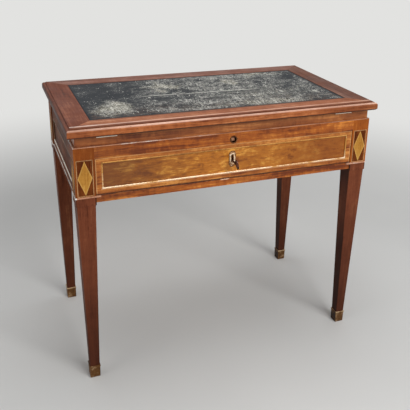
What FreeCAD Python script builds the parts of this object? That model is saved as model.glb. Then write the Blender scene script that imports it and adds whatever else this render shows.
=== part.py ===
import FreeCAD, Part
import math
import os
from types import SimpleNamespace

import Sketcher
from FreeCAD import Placement, Rotation, Vector

# Architect's table: a frieze with one drawer on four tapered legs, and a leather-lined top that
# a crank raises on four racked posts and that tilts on front hinges, held by a prop.
# Frame: origin on the floor under the middle of the table, +X right, +Y back, +Z up, millimetres.

os.makedirs("parts", exist_ok=True)

doc = FreeCAD.newDocument("architects_table")
sheet = doc.addObject("Spreadsheet::Sheet", "Sizes")

driving_sizes = {
    # top
    "top_height": 750,
    "top_width": 878,
    "top_depth": 508,
    "top_thickness": 23.7,
    "border_width": 68,
    "quirk_in": 10,
    "quirk_depth": 2.5,
    "ovolo_radius": 7,
    "under_chamfer": 4,
    "leather_thickness": 1.5,
    "leather_sink": 0.4,
    # case
    "band_height": 29.3,
    "frieze_height": 151,
    "overhang": 14,
    "die_width": 52,
    "collar_drop": 6,
    "leg_top": 48,
    "leg_foot": 25,
    "rail_set": 3,
    "rail_thickness": 22,
    "lower_rail": 20,
    # sunk panels and their beads
    "panel_end": 15,
    "panel_below": 15,
    "panel_above": 12,
    "panel_sink": 3,
    "bead_width": 4,
    "bead_proud": 0.6,
    # inlay of the dies
    "string_width": 42,
    "string_height": 98,
    "string_line": 2,
    "lozenge_width": 37,
    "lozenge_height": 93,
    "inlay_depth": 1,
    "inlay_rise": 70,
    # fillets under the dies and rails, and the strip along the case's top edge
    "fillet_rise": 16,
    "fillet_height": 4,
    "fillet_proud": 1.5,
    "fillet_tail": 12,
    "edge_width": 4.2,
    "edge_height": 1.6,
    # sabots
    "sabot_height": 38,
    "sabot_wall": 1.4,
    "sabot_sole": 3,
    "sabot_rim": 0.8,
    "sabot_rim_height": 4,
    # lift frame, posts and racks
    "lift_gap": 0.3,
    "band_set": 5,
    "band_thickness": 18,
    "tray_thickness": 5,
    "post_width": 20,
    "post_fit": 0.3,
    "post_length": 297,
    "post_room": 3,
    "rack_width": 8,
    "rack_depth": 8,
    "rack_length": 240,
    # teeth above and below the pitch line, in modules
    "rack_above": 0.8,
    "rack_below": 1.05,
    "bevel_above": 0.6,
    "bevel_below": 0.9,
    # lifting gear
    "shaft_drop": 19,
    "shaft_diameter": 10,
    "shaft_fit": 0.05,
    "pinion_module": 2,
    "pinion_teeth": 12,
    "pinion_width": 7,
    "pinion_pressure": 25,
    "bevel_module": 1.5,
    "bevel_teeth": 16,
    "bevel_pressure": 17,
    "bevel_face": 5,
    "hub_diameter": 17,
    "hub_length": 6,
    "gear_slack": 0.5,
    "gear_room": 1.5,
    "bush_outer": 22,
    "bush_inner": 16,
    "bush_proud": 1,
    "bush_margin": 1,
    "crank_square": 9,
    "crank_depth": 4,
    "bearing_length": 14,
    "bearing_width": 24,
    "bearing_cap": 4,
    "board_drop": 18,
    "board_thickness": 6,
    "cleat_size": 12,
    # drawer
    "drawer_gap": 1,
    "slide_gap": 0.3,
    "drawer_back_gap": 15,
    "drawer_side": 10,
    "drawer_over": 4.7,
    "drawer_bottom": 6,
    "drawer_bottom_rise": 5,
    "runner_width": 24,
    "guide_height": 14,
    # lock and key
    "key_drop": 50,
    "lock_width": 60,
    "lock_below": 16,
    "lock_depth": 12,
    "lock_wall": 1.5,
    "bolt_x": 20,
    "bolt_width": 14,
    "bolt_height": 24,
    "bolt_thickness": 3,
    "bolt_throw": 8,
    "bolt_fit": 0.3,
    "escutcheon_width": 20,
    "escutcheon_height": 45,
    "escutcheon_thickness": 1.2,
    "keyhole_diameter": 8,
    "keyhole_slot": 5,
    "keyhole_rise": 14,
    "escutcheon_rise": 5,
    "pin_diameter": 2.4,
    "pin_inset": 3.6,
    "key_stem": 5,
    "key_reach": 32,
    "key_bow": 26.6,
    "key_bow_width": 15,
    "key_wire": 3.6,
    "key_bit": 8,
    "key_bit_thickness": 2.4,
    "key_collar": 7.4,
    "key_collar_length": 3,
    "key_clear": 0.6,
    "key_rest_turn": 12,
    # hinges
    "hinge_in": 55,
    "hinge_length": 52,
    "hinge_out": 3.6,
    "knuckle_diameter": 6,
    "knuckle_gap": 0.3,
    "knuckle_room": 0.6,
    "hinge_pin": 3,
    "leaf_width": 20,
    "leaf_thickness": 2,
    # prop and notched battens
    "prop_reach": 200,
    "prop_drop": 8,
    "prop_x": 150,
    "arm_width": 14,
    "arm_thickness": 8,
    "arm_gap": 0.5,
    "stay_out": 50,
    "foot_gap": 0.6,
    "pivot_block": 16,
    "pivot_pin": 6,
    "batten_x": 100,
    "batten_width": 14,
    "batten_start": 246,
    "notch_pitch": 18,
    "notch_count": 8,
    "notch_depth": 2,
}

for row, (alias, number) in enumerate(driving_sizes.items(), start=1):
    sheet.set(f"A{row}", alias)
    sheet.set(f"B{row}", str(number))
    sheet.setAlias(f"B{row}", alias)
doc.recompute()


# A size carries its value and the sheet formula that gives it, so sums of sizes stay bound.
class Size:
    def __init__(self, text, value):
        self.text = text
        self.value = value

    def __add__(self, other):
        other = as_size(other)
        return Size(f"({self.text} + {other.text})", self.value + other.value)

    def __sub__(self, other):
        other = as_size(other)
        return Size(f"({self.text} - {other.text})", self.value - other.value)

    def __mul__(self, other):
        other = as_size(other)
        return Size(f"({self.text} * {other.text})", self.value * other.value)

    def __truediv__(self, other):
        other = as_size(other)
        return Size(f"({self.text} / {other.text})", self.value / other.value)

    def __neg__(self):
        return as_size(0) - self

    def __radd__(self, other):
        return as_size(other) + self

    def __rsub__(self, other):
        return as_size(other) - self

    def __rmul__(self, other):
        return as_size(other) * self


def as_size(number):
    if isinstance(number, Size):
        return number
    return Size(f"({number})", float(number))


size = SimpleNamespace(**{
    alias: Size(f"Sizes.{alias}", float(sheet.get(alias))) for alias in driving_sizes
})

axis_turns = {
    "x": Rotation(Vector(0, 1, 0), 90),
    "y": Rotation(Vector(1, 0, 0), -90),
}
mirror_x = Vector(1, 0, 0)
mirror_y = Vector(0, 1, 0)
same_spot = 0.01
flank_steps = 4
nodes = []


def bind(thing, formulas):
    for name, amount in formulas.items():
        thing.setExpression(name, as_size(amount).text)


def place(thing, x, y, z):
    bind(thing, {"Placement.Base.x": x, "Placement.Base.y": y, "Placement.Base.z": z})
    return thing


def block(label, x, y, z):
    box = doc.addObject("Part::Box", label)
    bind(box, {
        "Length": as_size(x[1]) - x[0],
        "Width": as_size(y[1]) - y[0],
        "Height": as_size(z[1]) - z[0],
    })
    return place(box, x[0], y[0], z[0])


def rod(label, along, diameter, span, centre):
    cylinder = doc.addObject("Part::Cylinder", label)
    bind(cylinder, {"Radius": as_size(diameter) / 2, "Height": as_size(span[1]) - span[0]})
    cylinder.Placement = Placement(Vector(), axis_turns[along])
    spot = list(centre)
    spot.insert("xyz".index(along), span[0])
    return place(cylinder, *spot)


# A square post that tapers from one width at its foot to another at its head.
def taper(label, foot_width, head_width, x, y, z):
    wedge = doc.addObject("Part::Wedge", label)
    bind(wedge, {
        "Xmin": -foot_width / 2,
        "Xmax": foot_width / 2,
        "Zmin": -foot_width / 2,
        "Zmax": foot_width / 2,
        "X2min": -head_width / 2,
        "X2max": head_width / 2,
        "Z2min": -head_width / 2,
        "Z2max": head_width / 2,
        "Ymin": 0,
        "Ymax": as_size(z[1]) - z[0],
    })
    wedge.Placement = Placement(Vector(), Rotation(Vector(1, 0, 0), 90))
    return place(wedge, x, y, z[0])


def fuse(label, *pieces):
    whole = doc.addObject("Part::MultiFuse", label)
    whole.Shapes = list(pieces)
    whole.Refine = True
    return whole


def cut(label, base, *tools):
    trimmed = doc.addObject("Part::Cut", label)
    trimmed.Base = base
    trimmed.Tool = tools[0] if len(tools) == 1 else fuse(f"{label}_tools", *tools)
    return trimmed


def group(label, *pieces):
    compound = doc.addObject("Part::Compound", label)
    compound.Links = list(pieces)
    return compound


def mirrored(label, source, normal):
    image = doc.addObject("Part::Mirroring", label)
    image.Source = source
    image.Normal = normal
    return image


def both_sides(label, left):
    return group(label, left, mirrored(f"{label}_right", left, mirror_x))


def four_corners(label, front_left):
    front = both_sides(f"{label}_front", front_left)
    return group(label, front, mirrored(f"{label}_back", front, mirror_y))


def node(thing):
    nodes.append(thing)
    return thing


def new_body(label):
    body = doc.addObject("PartDesign::Body", label)
    body.Label = label
    return body


# A closed outline of straight lines, each corner held to the origin by bound distances.
def outline(body, name, plane_role, corners):
    sketch = body.newObject("Sketcher::SketchObject", name)
    plane = next(item for item in body.Origin.OriginFeatures if item.Role == plane_role)
    sketch.AttachmentSupport = [(plane, "")]
    sketch.MapMode = "FlatFace"
    spots = [(as_size(u), as_size(v)) for u, v in corners]
    points = [Vector(u.value, v.value) for u, v in spots]
    for index, point in enumerate(points):
        sketch.addGeometry(Part.LineSegment(point, points[(index + 1) % len(points)]), False)
    for index in range(len(points)):
        sketch.addConstraint(Sketcher.Constraint("Coincident", index, 2, (index + 1) % len(points), 1))
    for index, spot in enumerate(spots):
        for kind, amount, axis in (("DistanceX", spot[0], -2), ("DistanceY", spot[1], -1)):
            if amount.value == 0:
                sketch.addConstraint(Sketcher.Constraint("PointOnObject", index, 1, axis))
            elif amount.value > 0:
                held = sketch.addConstraint(Sketcher.Constraint(kind, -1, 1, index, 1, amount.value))
                sketch.setExpression(f"Constraints[{held}]", amount.text)
            else:
                held = sketch.addConstraint(Sketcher.Constraint(kind, index, 1, -1, 1, -amount.value))
                sketch.setExpression(f"Constraints[{held}]", (-amount).text)
    return sketch


def pad(body, sketch, length, symmetric=False):
    feature = body.newObject("PartDesign::Pad", f"{sketch.Name}_pad")
    feature.Profile = sketch
    feature.SideType = "Symmetric" if symmetric else "One side"
    bind(feature, {"Length": length})
    return feature


# Levels and faces that several pieces share.
half_width = size.top_width / 2
half_depth = size.top_depth / 2
leg_x = half_width - size.overhang - size.die_width / 2
leg_y = half_depth - size.overhang - size.die_width / 2
underside = size.top_height - size.top_thickness
frieze_top = underside - size.band_height
frieze_bottom = frieze_top - size.frieze_height
collar_bottom = frieze_bottom - size.collar_drop
fillet_bottom = frieze_bottom + size.fillet_rise
inlay_middle = frieze_bottom + size.inlay_rise
shaft_height = frieze_top - size.shaft_drop
band_bottom = frieze_top + size.lift_gap
band_top = underside - size.lift_gap
tray_top = band_bottom + size.tray_thickness
die_left = -(leg_x + size.die_width / 2)
die_front = -(leg_y + size.die_width / 2)
leg_inner_x = leg_x - size.die_width / 2
leg_inner_y = leg_y - size.die_width / 2
rail_left = die_left + size.rail_set
rail_front = die_front + size.rail_set
rail_left_in = rail_left + size.rail_thickness
rail_front_in = rail_front + size.rail_thickness
band_left = die_left + size.band_set
band_front = die_front + size.band_set
band_left_in = band_left + size.band_thickness
band_front_in = band_front + size.band_thickness
upper_rail_bottom = shaft_height - size.bush_outer / 2 - size.bush_margin
lower_rail_top = frieze_bottom + size.lower_rail
panel_bottom = lower_rail_top + size.panel_below
panel_top = upper_rail_bottom - size.panel_above
board_top = shaft_height - size.board_drop
board_bottom = board_top - size.board_thickness
shaft_bore = size.shaft_diameter + 2 * size.shaft_fit

# Rack, pinion and shaft places: the rack's teeth end flush with the post's inner face.
pinion_radius = size.pinion_module * size.pinion_teeth / 2
tooth_height = size.rack_above * size.pinion_module
tooth_root = size.rack_below * size.pinion_module
pinion_reach = 2 * (pinion_radius + tooth_height + size.gear_room)
post_face = leg_x - size.post_width / 2
side_shaft_x = post_face + tooth_height - pinion_radius
pinion_half = size.pinion_width / 2 + size.gear_room
pinion_slot_y = (-leg_y - pinion_half, -leg_y + pinion_half)
pinion_slot_z = (shaft_height - pinion_reach / 2, shaft_height + pinion_reach / 2)


# A sheet let into the front or the side face of the front left die.
def inlay_sheet(label, face, width, height):
    z = (inlay_middle - height / 2, inlay_middle + height / 2)
    if face == "front":
        return block(label, (-leg_x - width / 2, -leg_x + width / 2),
                     (die_front, die_front + size.inlay_depth), z)
    return block(label, (die_left, die_left + size.inlay_depth),
                 (-leg_y - width / 2, -leg_y + width / 2), z)


def build_legs():
    die = block("leg_die", (die_left, -leg_inner_x), (die_front, -leg_inner_y),
                (collar_bottom, frieze_top))
    shank = taper("leg_shank", size.leg_foot, size.leg_top, -leg_x, -leg_y,
                  (size.sabot_sole, collar_bottom))
    mortise_half = size.post_width / 2 + size.post_fit
    mortise = block("post_mortise", (-leg_x - mortise_half, -leg_x + mortise_half),
                    (-leg_y - mortise_half, -leg_y + mortise_half),
                    (band_bottom - size.post_length - size.post_room, frieze_top))
    pinion_slot = block("pinion_slot", (-leg_x, -leg_inner_x), pinion_slot_y, pinion_slot_z)
    shaft_room = size.shaft_diameter / 2 + size.gear_room
    shaft_slot = block("shaft_slot", (-side_shaft_x - shaft_room, -leg_inner_x),
                       (-leg_y, -leg_inner_y),
                       (shaft_height - shaft_room, shaft_height + shaft_room))
    front_recess = inlay_sheet("inlay_recess_front", "front", size.string_width, size.string_height)
    side_recess = inlay_sheet("inlay_recess_side", "side", size.string_width, size.string_height)
    leg = cut("leg_front_left", fuse("leg_blank", die, shank), mortise, pinion_slot, shaft_slot,
              front_recess, side_recess)
    node(leg)
    node(mirrored("leg_front_right", leg, mirror_x))
    back_left = node(mirrored("leg_back_left", leg, mirror_y))
    node(mirrored("leg_back_right", back_left, mirror_x))


def build_sabots():
    slope = (size.leg_top - size.leg_foot) / (collar_bottom - size.sabot_sole)
    leg_at_rim = size.leg_foot + slope * (size.sabot_height - size.sabot_sole)
    shell = taper("sabot_shell", size.leg_foot + 2 * size.sabot_wall, leg_at_rim + 2 * size.sabot_wall,
                  -leg_x, -leg_y, (0, size.sabot_height))
    rim_half = leg_at_rim / 2 + size.sabot_wall + size.sabot_rim
    rim = block("sabot_rim_block", (-leg_x - rim_half, -leg_x + rim_half),
                (-leg_y - rim_half, -leg_y + rim_half),
                (size.sabot_height - size.sabot_rim_height, size.sabot_height))
    inside = taper("sabot_inside", size.leg_foot, leg_at_rim, -leg_x, -leg_y,
                   (size.sabot_sole, size.sabot_height))
    node(four_corners("leg_sabots", cut("sabot_front_left", fuse("sabot_blank", shell, rim), inside)))


# A lozenge standing on its point, in the front face of the front left die or turned to its side face.
def lozenge(label, face):
    body = new_body(label)
    tips = [(0, -size.lozenge_height / 2), (size.lozenge_width / 2, 0),
            (0, size.lozenge_height / 2), (-size.lozenge_width / 2, 0)]
    pad(body, outline(body, f"{label}_outline", "XZ_Plane", tips), size.inlay_depth)
    if face == "front":
        return place(body, -leg_x, die_front + size.inlay_depth, inlay_middle)
    body.Placement = Placement(Vector(), Rotation(Vector(0, 0, 1), -90))
    return place(body, die_left + size.inlay_depth, -leg_y, inlay_middle)


def build_inlay():
    ground_width = size.string_width - 2 * size.string_line
    ground_height = size.string_height - 2 * size.string_line
    strings = []
    grounds = []
    lozenges = []
    for face in ("front", "side"):
        whole = inlay_sheet(f"string_whole_{face}", face, size.string_width, size.string_height)
        inside = inlay_sheet(f"ground_whole_{face}", face, ground_width, ground_height)
        diamond = lozenge(f"lozenge_{face}", face)
        strings.append(cut(f"string_{face}", whole, inside))
        grounds.append(cut(f"ground_{face}", inside, diamond))
        lozenges.append(diamond)
    node(four_corners("die_stringing", group("string_pair", *strings)))
    node(four_corners("die_lozenges", group("lozenge_pair", *lozenges)))
    node(four_corners("die_grounds", group("ground_pair", *grounds)))


def build_fillets():
    z = (fillet_bottom, fillet_bottom + size.fillet_height)
    proud = size.fillet_proud
    inner_x = -leg_inner_x + size.fillet_tail
    inner_y = -leg_inner_y + proud
    front = block("fillet_front", (die_left - proud, inner_x), (die_front - proud, die_front), z)
    side = block("fillet_side", (die_left - proud, die_left), (die_front - proud, inner_y), z)
    front_return = block("fillet_front_return", (-leg_inner_x, inner_x), (die_front, rail_front), z)
    side_return = block("fillet_side_return", (die_left, rail_left), (-leg_inner_y, inner_y), z)
    corners = four_corners("die_fillets", fuse("die_fillet", front, side, front_return, side_return))
    side_strip = block("side_strip", (rail_left - proud, rail_left), (inner_y, -inner_y), z)
    back_strip = block("back_strip", (inner_x, -inner_x), (-rail_front, -rail_front + proud), z)

    edge_x = (die_left, die_left + size.edge_width)
    edge_y = (die_front, die_front + size.edge_width)
    edge_z = (frieze_top, frieze_top + size.edge_height)
    edge_front = block("edge_front", (die_left, -die_left), edge_y, edge_z)
    edge_back = mirrored("edge_back", edge_front, mirror_y)
    edge_side = block("edge_side", edge_x, (edge_y[1], -edge_y[1]), edge_z)
    edges = group("edge_strips", edge_front, edge_back, both_sides("edge_sides", edge_side))
    node(group("frieze_fillets", corners, both_sides("side_strips", side_strip), back_strip, edges))


# A bead that frames a sunk panel: a flat ring from the panel's floor to just proud of the rail's face.
def bead_frame(label, x, y, z, thin):
    whole = block(f"{label}_whole", x, y, z)
    line = size.bead_width
    inner = {"x": x, "y": y, "z": (z[0] + line, z[1] - line)}
    wide = "y" if thin == "x" else "x"
    inner[wide] = (inner[wide][0] + line, inner[wide][1] - line)
    return cut(label, whole, block(f"{label}_inner", inner["x"], inner["y"], inner["z"]))


def build_rails():
    across = (-leg_inner_x, leg_inner_x)
    along = (-leg_inner_y, leg_inner_y)
    full = (frieze_bottom, frieze_top)
    panel_z = (panel_bottom, panel_top)
    rail_y = (rail_front, rail_front_in)
    node(block("front_lower_rail", across, rail_y, (frieze_bottom, lower_rail_top)))

    # The upper rail is built up round the square shank of the crank bush, under a thin facing.
    upper_z = (upper_rail_bottom, frieze_top)
    half_shank = size.bush_outer / 2
    shank_x = (-half_shank, half_shank)
    shank_z = (shaft_height - half_shank, shaft_height + half_shank)
    strike = block("strike", bolt_slot_x, bolt_slot_y,
                   (upper_rail_bottom, upper_rail_bottom + size.bolt_throw + size.drawer_gap))
    notch = block("pinion_notch", (-leg_inner_x, -side_shaft_x + pinion_reach / 2),
                  (pinion_slot_y[0], rail_front_in), pinion_slot_z)
    left_blank = block("upper_rail_blank", (across[0], -half_shank), rail_y, upper_z)
    left_length = cut("upper_rail_left", left_blank, notch)
    right_length = cut("upper_rail_right", mirrored("upper_rail_right_blank", left_length, mirror_x), strike)
    over = block("upper_rail_over", shank_x, rail_y, (shank_z[1], frieze_top))
    under = block("upper_rail_under", shank_x, rail_y, (upper_rail_bottom, shank_z[0]))
    node(group("front_upper_rail", left_length, right_length, over, under))
    facing_y = (die_front, rail_front)
    collar_hole = rod("collar_hole", "y", size.bush_outer, facing_y, (0, shaft_height))
    node(cut("upper_rail_facing", block("upper_facing_blank", across, facing_y, upper_z), collar_hole))
    collar = rod("bush_collar", "y", size.bush_outer, (die_front - size.bush_proud, rail_front),
                 (0, shaft_height))
    shank = block("bush_square", shank_x, rail_y, shank_z)
    bush_bore = rod("bush_bore", "y", size.bush_inner, (die_front - size.bush_proud, rail_front_in),
                    (0, shaft_height))
    node(cut("crank_bush", fuse("bush_blank", collar, shank), bush_bore))

    panel_y = (along[0] + size.panel_end, along[1] - size.panel_end)
    side_floor = rail_left + size.panel_sink
    side_blank = block("side_rail_blank", (rail_left, rail_left_in), along, full)
    side_sink = block("side_rail_sink", (rail_left, side_floor), panel_y, panel_z)
    left = node(cut("side_rail_left", side_blank, side_sink))
    node(mirrored("side_rail_right", left, mirror_x))
    side_bead = bead_frame("side_bead", (rail_left - size.bead_proud, side_floor), panel_y, panel_z, "x")

    panel_x = (across[0] + size.panel_end, across[1] - size.panel_end)
    back_floor = -rail_front - size.panel_sink
    back_blank = block("back_rail_blank", across, (-rail_front_in, -rail_front), full)
    back_sink = block("back_rail_sink", panel_x, (back_floor, -rail_front), panel_z)
    back_notches = mirrored("back_pinion_notches", both_sides("pinion_notches", notch), mirror_y)
    node(cut("back_rail", back_blank, back_sink, back_notches))
    back_bead = bead_frame("back_bead", panel_x, (back_floor, -rail_front + size.bead_proud), panel_z, "y")
    node(group("frieze_panel_beads", both_sides("side_beads", side_bead), back_bead))


def build_drawer_bed():
    inside_y = (rail_front_in, -rail_front_in)
    runner = block("runner", (-leg_inner_x, -leg_inner_x + size.runner_width), inside_y,
                   (frieze_bottom, lower_rail_top))
    node(both_sides("drawer_runners", runner))
    guide = block("guide", (rail_left_in, -leg_inner_x), (-leg_inner_y, leg_inner_y),
                  (frieze_bottom, lower_rail_top + size.guide_height))
    node(both_sides("drawer_guides", guide))
    cleat = block("cleat", (rail_left_in, rail_left_in + size.cleat_size), (-leg_inner_y, leg_inner_y),
                  (board_bottom - size.cleat_size, board_bottom))
    node(both_sides("board_cleats", cleat))
    board_z = (board_bottom, board_top)
    board = block("board_blank", (rail_left_in, -rail_left_in),
                  (rail_front_in + size.drawer_gap, -rail_front_in), board_z)
    leg_notch = block("leg_notch", (rail_left_in, -leg_inner_x), (rail_front_in, -leg_inner_y), board_z)
    node(cut("mechanism_board", board, four_corners("leg_notches", leg_notch)))


# Bearing block on the board, bored for a shaft that runs along x or y.
def bearing(label, along, x, y):
    half_length = size.bearing_length / 2
    half_width = size.bearing_width / 2
    half_x = half_length if along == "x" else half_width
    half_y = half_width if along == "x" else half_length
    body = block(f"{label}_block", (x - half_x, x + half_x), (y - half_y, y + half_y),
                 (board_top, shaft_height + size.shaft_diameter / 2 + size.bearing_cap))
    start = x if along == "x" else y
    across = y if along == "x" else x
    bore = rod(f"{label}_bore", along, shaft_bore, (start - half_length, start + half_length),
               (across, shaft_height))
    return cut(label, body, bore)


bevel_radius = size.bevel_module * size.bevel_teeth / 2
bevel_back = bevel_radius + size.hub_length
bearing_gap = size.bearing_length / 2 + bevel_back + size.gear_room
arbor_front_bearing_y = rail_front_in + size.bearing_length / 2
side_bearing_y = leg_inner_y - size.bearing_length / 2


def build_bearings():
    zero = as_size(0)
    arbor = group("arbor_bearings", bearing("arbor_bearing_front", "y", zero, arbor_front_bearing_y),
                  bearing("arbor_bearing_back", "y", zero, -bearing_gap))
    inner = bearing("cross_bearing_inner", "x", -bearing_gap, zero)
    outer = bearing("cross_bearing_outer", "x", -side_shaft_x + bearing_gap, zero)
    front = bearing("side_bearing_front", "y", -side_shaft_x, -side_bearing_y)
    back = bearing("side_bearing_back", "y", -side_shaft_x, side_bearing_y)
    pairs = both_sides("shaft_bearing_pairs", group("left_bearings", inner, outer, front, back))
    node(group("shaft_bearings", arbor, pairs))


# Corners of a spur gear: each tooth's flanks are involutes, drawn with a few straight steps.
def gear_corners(pitch_radius, teeth, pressure, addendum, dedendum, slack):
    base_radius = pitch_radius * math.cos(pressure)
    half_tooth = math.pi / (2 * teeth) - slack / (2 * pitch_radius)

    def involute(radius):
        angle = math.acos(min(1.0, base_radius / radius))
        return math.tan(angle) - angle

    low = max(base_radius, pitch_radius - dedendum)
    high = pitch_radius + addendum
    flank = [(pitch_radius - dedendum, half_tooth + involute(pitch_radius) - involute(low))]
    for step in range(flank_steps + 1):
        radius = low + (high - low) * step / flank_steps
        flank.append((radius, half_tooth + involute(pitch_radius) - involute(radius)))
    corners = []
    for tooth in range(teeth):
        middle = 2 * math.pi * tooth / teeth
        for radius, half in flank:
            corners.append((radius, middle - half))
        for radius, half in reversed(flank):
            corners.append((radius, middle + half))
    return [Vector(radius * math.cos(angle), radius * math.sin(angle)) for radius, angle in corners]


def closed_wire(points):
    apart = [
        point for index, point in enumerate(points)
        if point.distanceToPoint(points[index - 1]) > same_spot
    ]
    return Part.makePolygon(apart + [apart[0]])


def code_made(label, shape, placement):
    feature = doc.addObject("Part::Feature", label)
    feature.Shape = shape
    feature.Placement = placement
    return feature


def pinion_shape():
    corners = gear_corners(pinion_radius.value, int(size.pinion_teeth.value),
                           math.radians(size.pinion_pressure.value), tooth_height.value, tooth_root.value,
                           size.gear_slack.value / 2)
    width = size.pinion_width.value
    wheel = Part.Face(closed_wire(corners)).extrude(Vector(0, 0, width))
    bore = Part.makeCylinder(size.shaft_diameter.value / 2, width)
    return wheel.cut(bore)


# Mitre bevel with its apex at the origin and its axis along +Z: both ends scale towards the apex.
def bevel_shape():
    radius = bevel_radius.value
    module = size.bevel_module.value
    corners = gear_corners(radius, int(size.bevel_teeth.value), math.radians(size.bevel_pressure.value),
                           size.bevel_above.value * module, size.bevel_below.value * module,
                           size.gear_slack.value / 2)
    shrink = (radius - size.bevel_face.value) / radius
    large = [Vector(point.x, point.y, radius) for point in corners]
    small = [point * shrink for point in large]
    toothed = Part.makeLoft([closed_wire(small), closed_wire(large)], True, True)
    hub = Part.makeCylinder(size.hub_diameter.value / 2, size.hub_length.value, Vector(0, 0, radius))
    bore = Part.makeCylinder(size.shaft_diameter.value / 2, radius + size.hub_length.value)
    return toothed.fuse(hub).removeSplitter().cut(bore)


# The bevel's axis points along axis_way; one tooth, or one gap, faces along mesh_way.
def bevel(label, apex, axis_way, mesh_way, gap_faces_mate):
    turn = Rotation(mesh_way, axis_way.cross(mesh_way), axis_way, "ZXY")
    half_pitch = 180.0 / size.bevel_teeth.value
    phase = Rotation(Vector(0, 0, 1), half_pitch if gap_faces_mate else 0)
    return code_made(label, bevel_shape(), Placement(apex, turn * phase))


def build_gears():
    height = shaft_height.value
    side_x = side_shaft_x.value
    left_way = Vector(-1, 0, 0)
    right_way = Vector(1, 0, 0)
    back_way = Vector(0, 1, 0)
    front_way = Vector(0, -1, 0)
    middle = Vector(0, 0, height)
    left_apex = Vector(-side_x, 0, height)

    node(bevel("arbor_bevel", middle, front_way, right_way, False))
    centre = bevel("cross_bevel_centre", middle, right_way, front_way, True)
    left_end = bevel("cross_bevel_end", left_apex, right_way, back_way, True)
    node(group("cross_shaft_bevels", centre, both_sides("cross_bevel_ends", left_end)))
    left_bevel = node(bevel("side_bevel_left", left_apex, back_way, right_way, False))
    node(mirrored("side_bevel_right", left_bevel, mirror_x))

    # A tooth of each pinion points at its rack, which has a gap at shaft height.
    pinion_turn = Rotation(left_way, Vector(0, 0, 1), back_way, "ZXY")
    pinion_y = -leg_y.value - size.pinion_width.value / 2
    pinion = code_made("pinion_front_left", pinion_shape(),
                       Placement(Vector(-side_x, pinion_y, height), pinion_turn))
    left_pair = node(group("pinions_left", pinion, mirrored("pinion_back_left", pinion, mirror_y)))
    node(mirrored("pinions_right", left_pair, mirror_x))


def build_shafts():
    apex_clear = bevel_radius - size.bevel_face
    square_front = die_front + size.crank_depth
    half_square = size.crank_square / 2
    square = block("arbor_square", (-half_square, half_square), (square_front, rail_front_in),
                   (shaft_height - half_square, shaft_height + half_square))
    arbor = rod("arbor_rod", "y", size.shaft_diameter, (rail_front_in, -apex_clear), (0, shaft_height))
    node(fuse("crank_arbor", square, arbor))
    cross_end = side_shaft_x - apex_clear
    node(rod("cross_shaft", "x", size.shaft_diameter, (-cross_end, cross_end), (0, shaft_height)))
    shaft_end = leg_y + size.pinion_width / 2
    left = node(rod("side_shaft_left", "y", size.shaft_diameter, (-shaft_end, shaft_end),
                    (-side_shaft_x, shaft_height)))
    node(mirrored("side_shaft_right", left, mirror_x))


def build_racks():
    pitch = math.pi * size.pinion_module.value
    slope = math.tan(math.radians(size.pinion_pressure.value))
    half_gap = pitch / 4 + size.gear_slack.value / 4
    tip = tooth_height.value
    root = tooth_root.value
    face = -post_face.value
    pitch_x = face - tip
    top = band_bottom.value
    bottom = top - size.rack_length.value
    count_above = int((top - shaft_height.value) / pitch - 0.5)
    count_below = int((shaft_height.value - bottom) / pitch - 0.5)
    corners = [Vector(face - size.rack_depth.value, 0, bottom), Vector(face, 0, bottom)]
    for index in range(-count_below, count_above + 1):
        middle = shaft_height.value + index * pitch
        corners.append(Vector(face, 0, middle - half_gap - tip * slope))
        corners.append(Vector(pitch_x - root, 0, middle - half_gap + root * slope))
        corners.append(Vector(pitch_x - root, 0, middle + half_gap - root * slope))
        corners.append(Vector(face, 0, middle + half_gap + tip * slope))
    corners += [Vector(face, 0, top), Vector(face - size.rack_depth.value, 0, top)]
    shape = Part.Face(closed_wire(corners)).extrude(Vector(0, size.rack_width.value, 0))
    rack_y = -leg_y.value - size.rack_width.value / 2
    rack = code_made("rack_front_left", shape, Placement(Vector(0, rack_y, 0), Rotation()))
    node(four_corners("lift_racks", rack))

    half_post = size.post_width / 2
    post_blank = block("post_blank", (-leg_x - half_post, -leg_x + half_post),
                       (-leg_y - half_post, -leg_y + half_post),
                       (band_bottom - size.post_length, band_bottom))
    groove = block("rack_groove", (-post_face - size.rack_depth, -post_face),
                   (-leg_y - size.rack_width / 2, -leg_y + size.rack_width / 2),
                   (band_bottom - size.rack_length, band_bottom))
    node(four_corners("lift_posts", cut("post_front_left", post_blank, groove)))


hinge_y = band_front - size.hinge_out
hinge_z = underside - size.lift_gap / 2
hinge_half = size.hinge_length / 2
hinge_x = (band_left + size.hinge_in, band_left + size.hinge_in + size.hinge_length)
hinge_middle = hinge_x[0] + hinge_half
middle_knuckle = size.hinge_length / 6


# One leaf of the left hinge with the knuckles over the given spans along the pin.
def hinge_leaf(label, leaf_z, spans):
    plate = block(f"{label}_plate", hinge_x, (band_front, band_front + size.leaf_width), leaf_z)
    pieces = [plate]
    for index, (start, end) in enumerate(spans):
        x = (hinge_middle + start, hinge_middle + end)
        pieces.append(rod(f"{label}_knuckle_{index}", "x", size.knuckle_diameter, x, (hinge_y, hinge_z)))
        pieces.append(block(f"{label}_web_{index}", x, (hinge_y, band_front), leaf_z))
    bore = rod(f"{label}_bore", "x", size.hinge_pin + 2 * size.shaft_fit, hinge_x, (hinge_y, hinge_z))
    return cut(label, fuse(f"{label}_blank", *pieces), bore)


lower_leaf_z = (band_top - size.leaf_thickness, band_top)
upper_leaf_z = (underside, underside + size.leaf_thickness)


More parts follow.
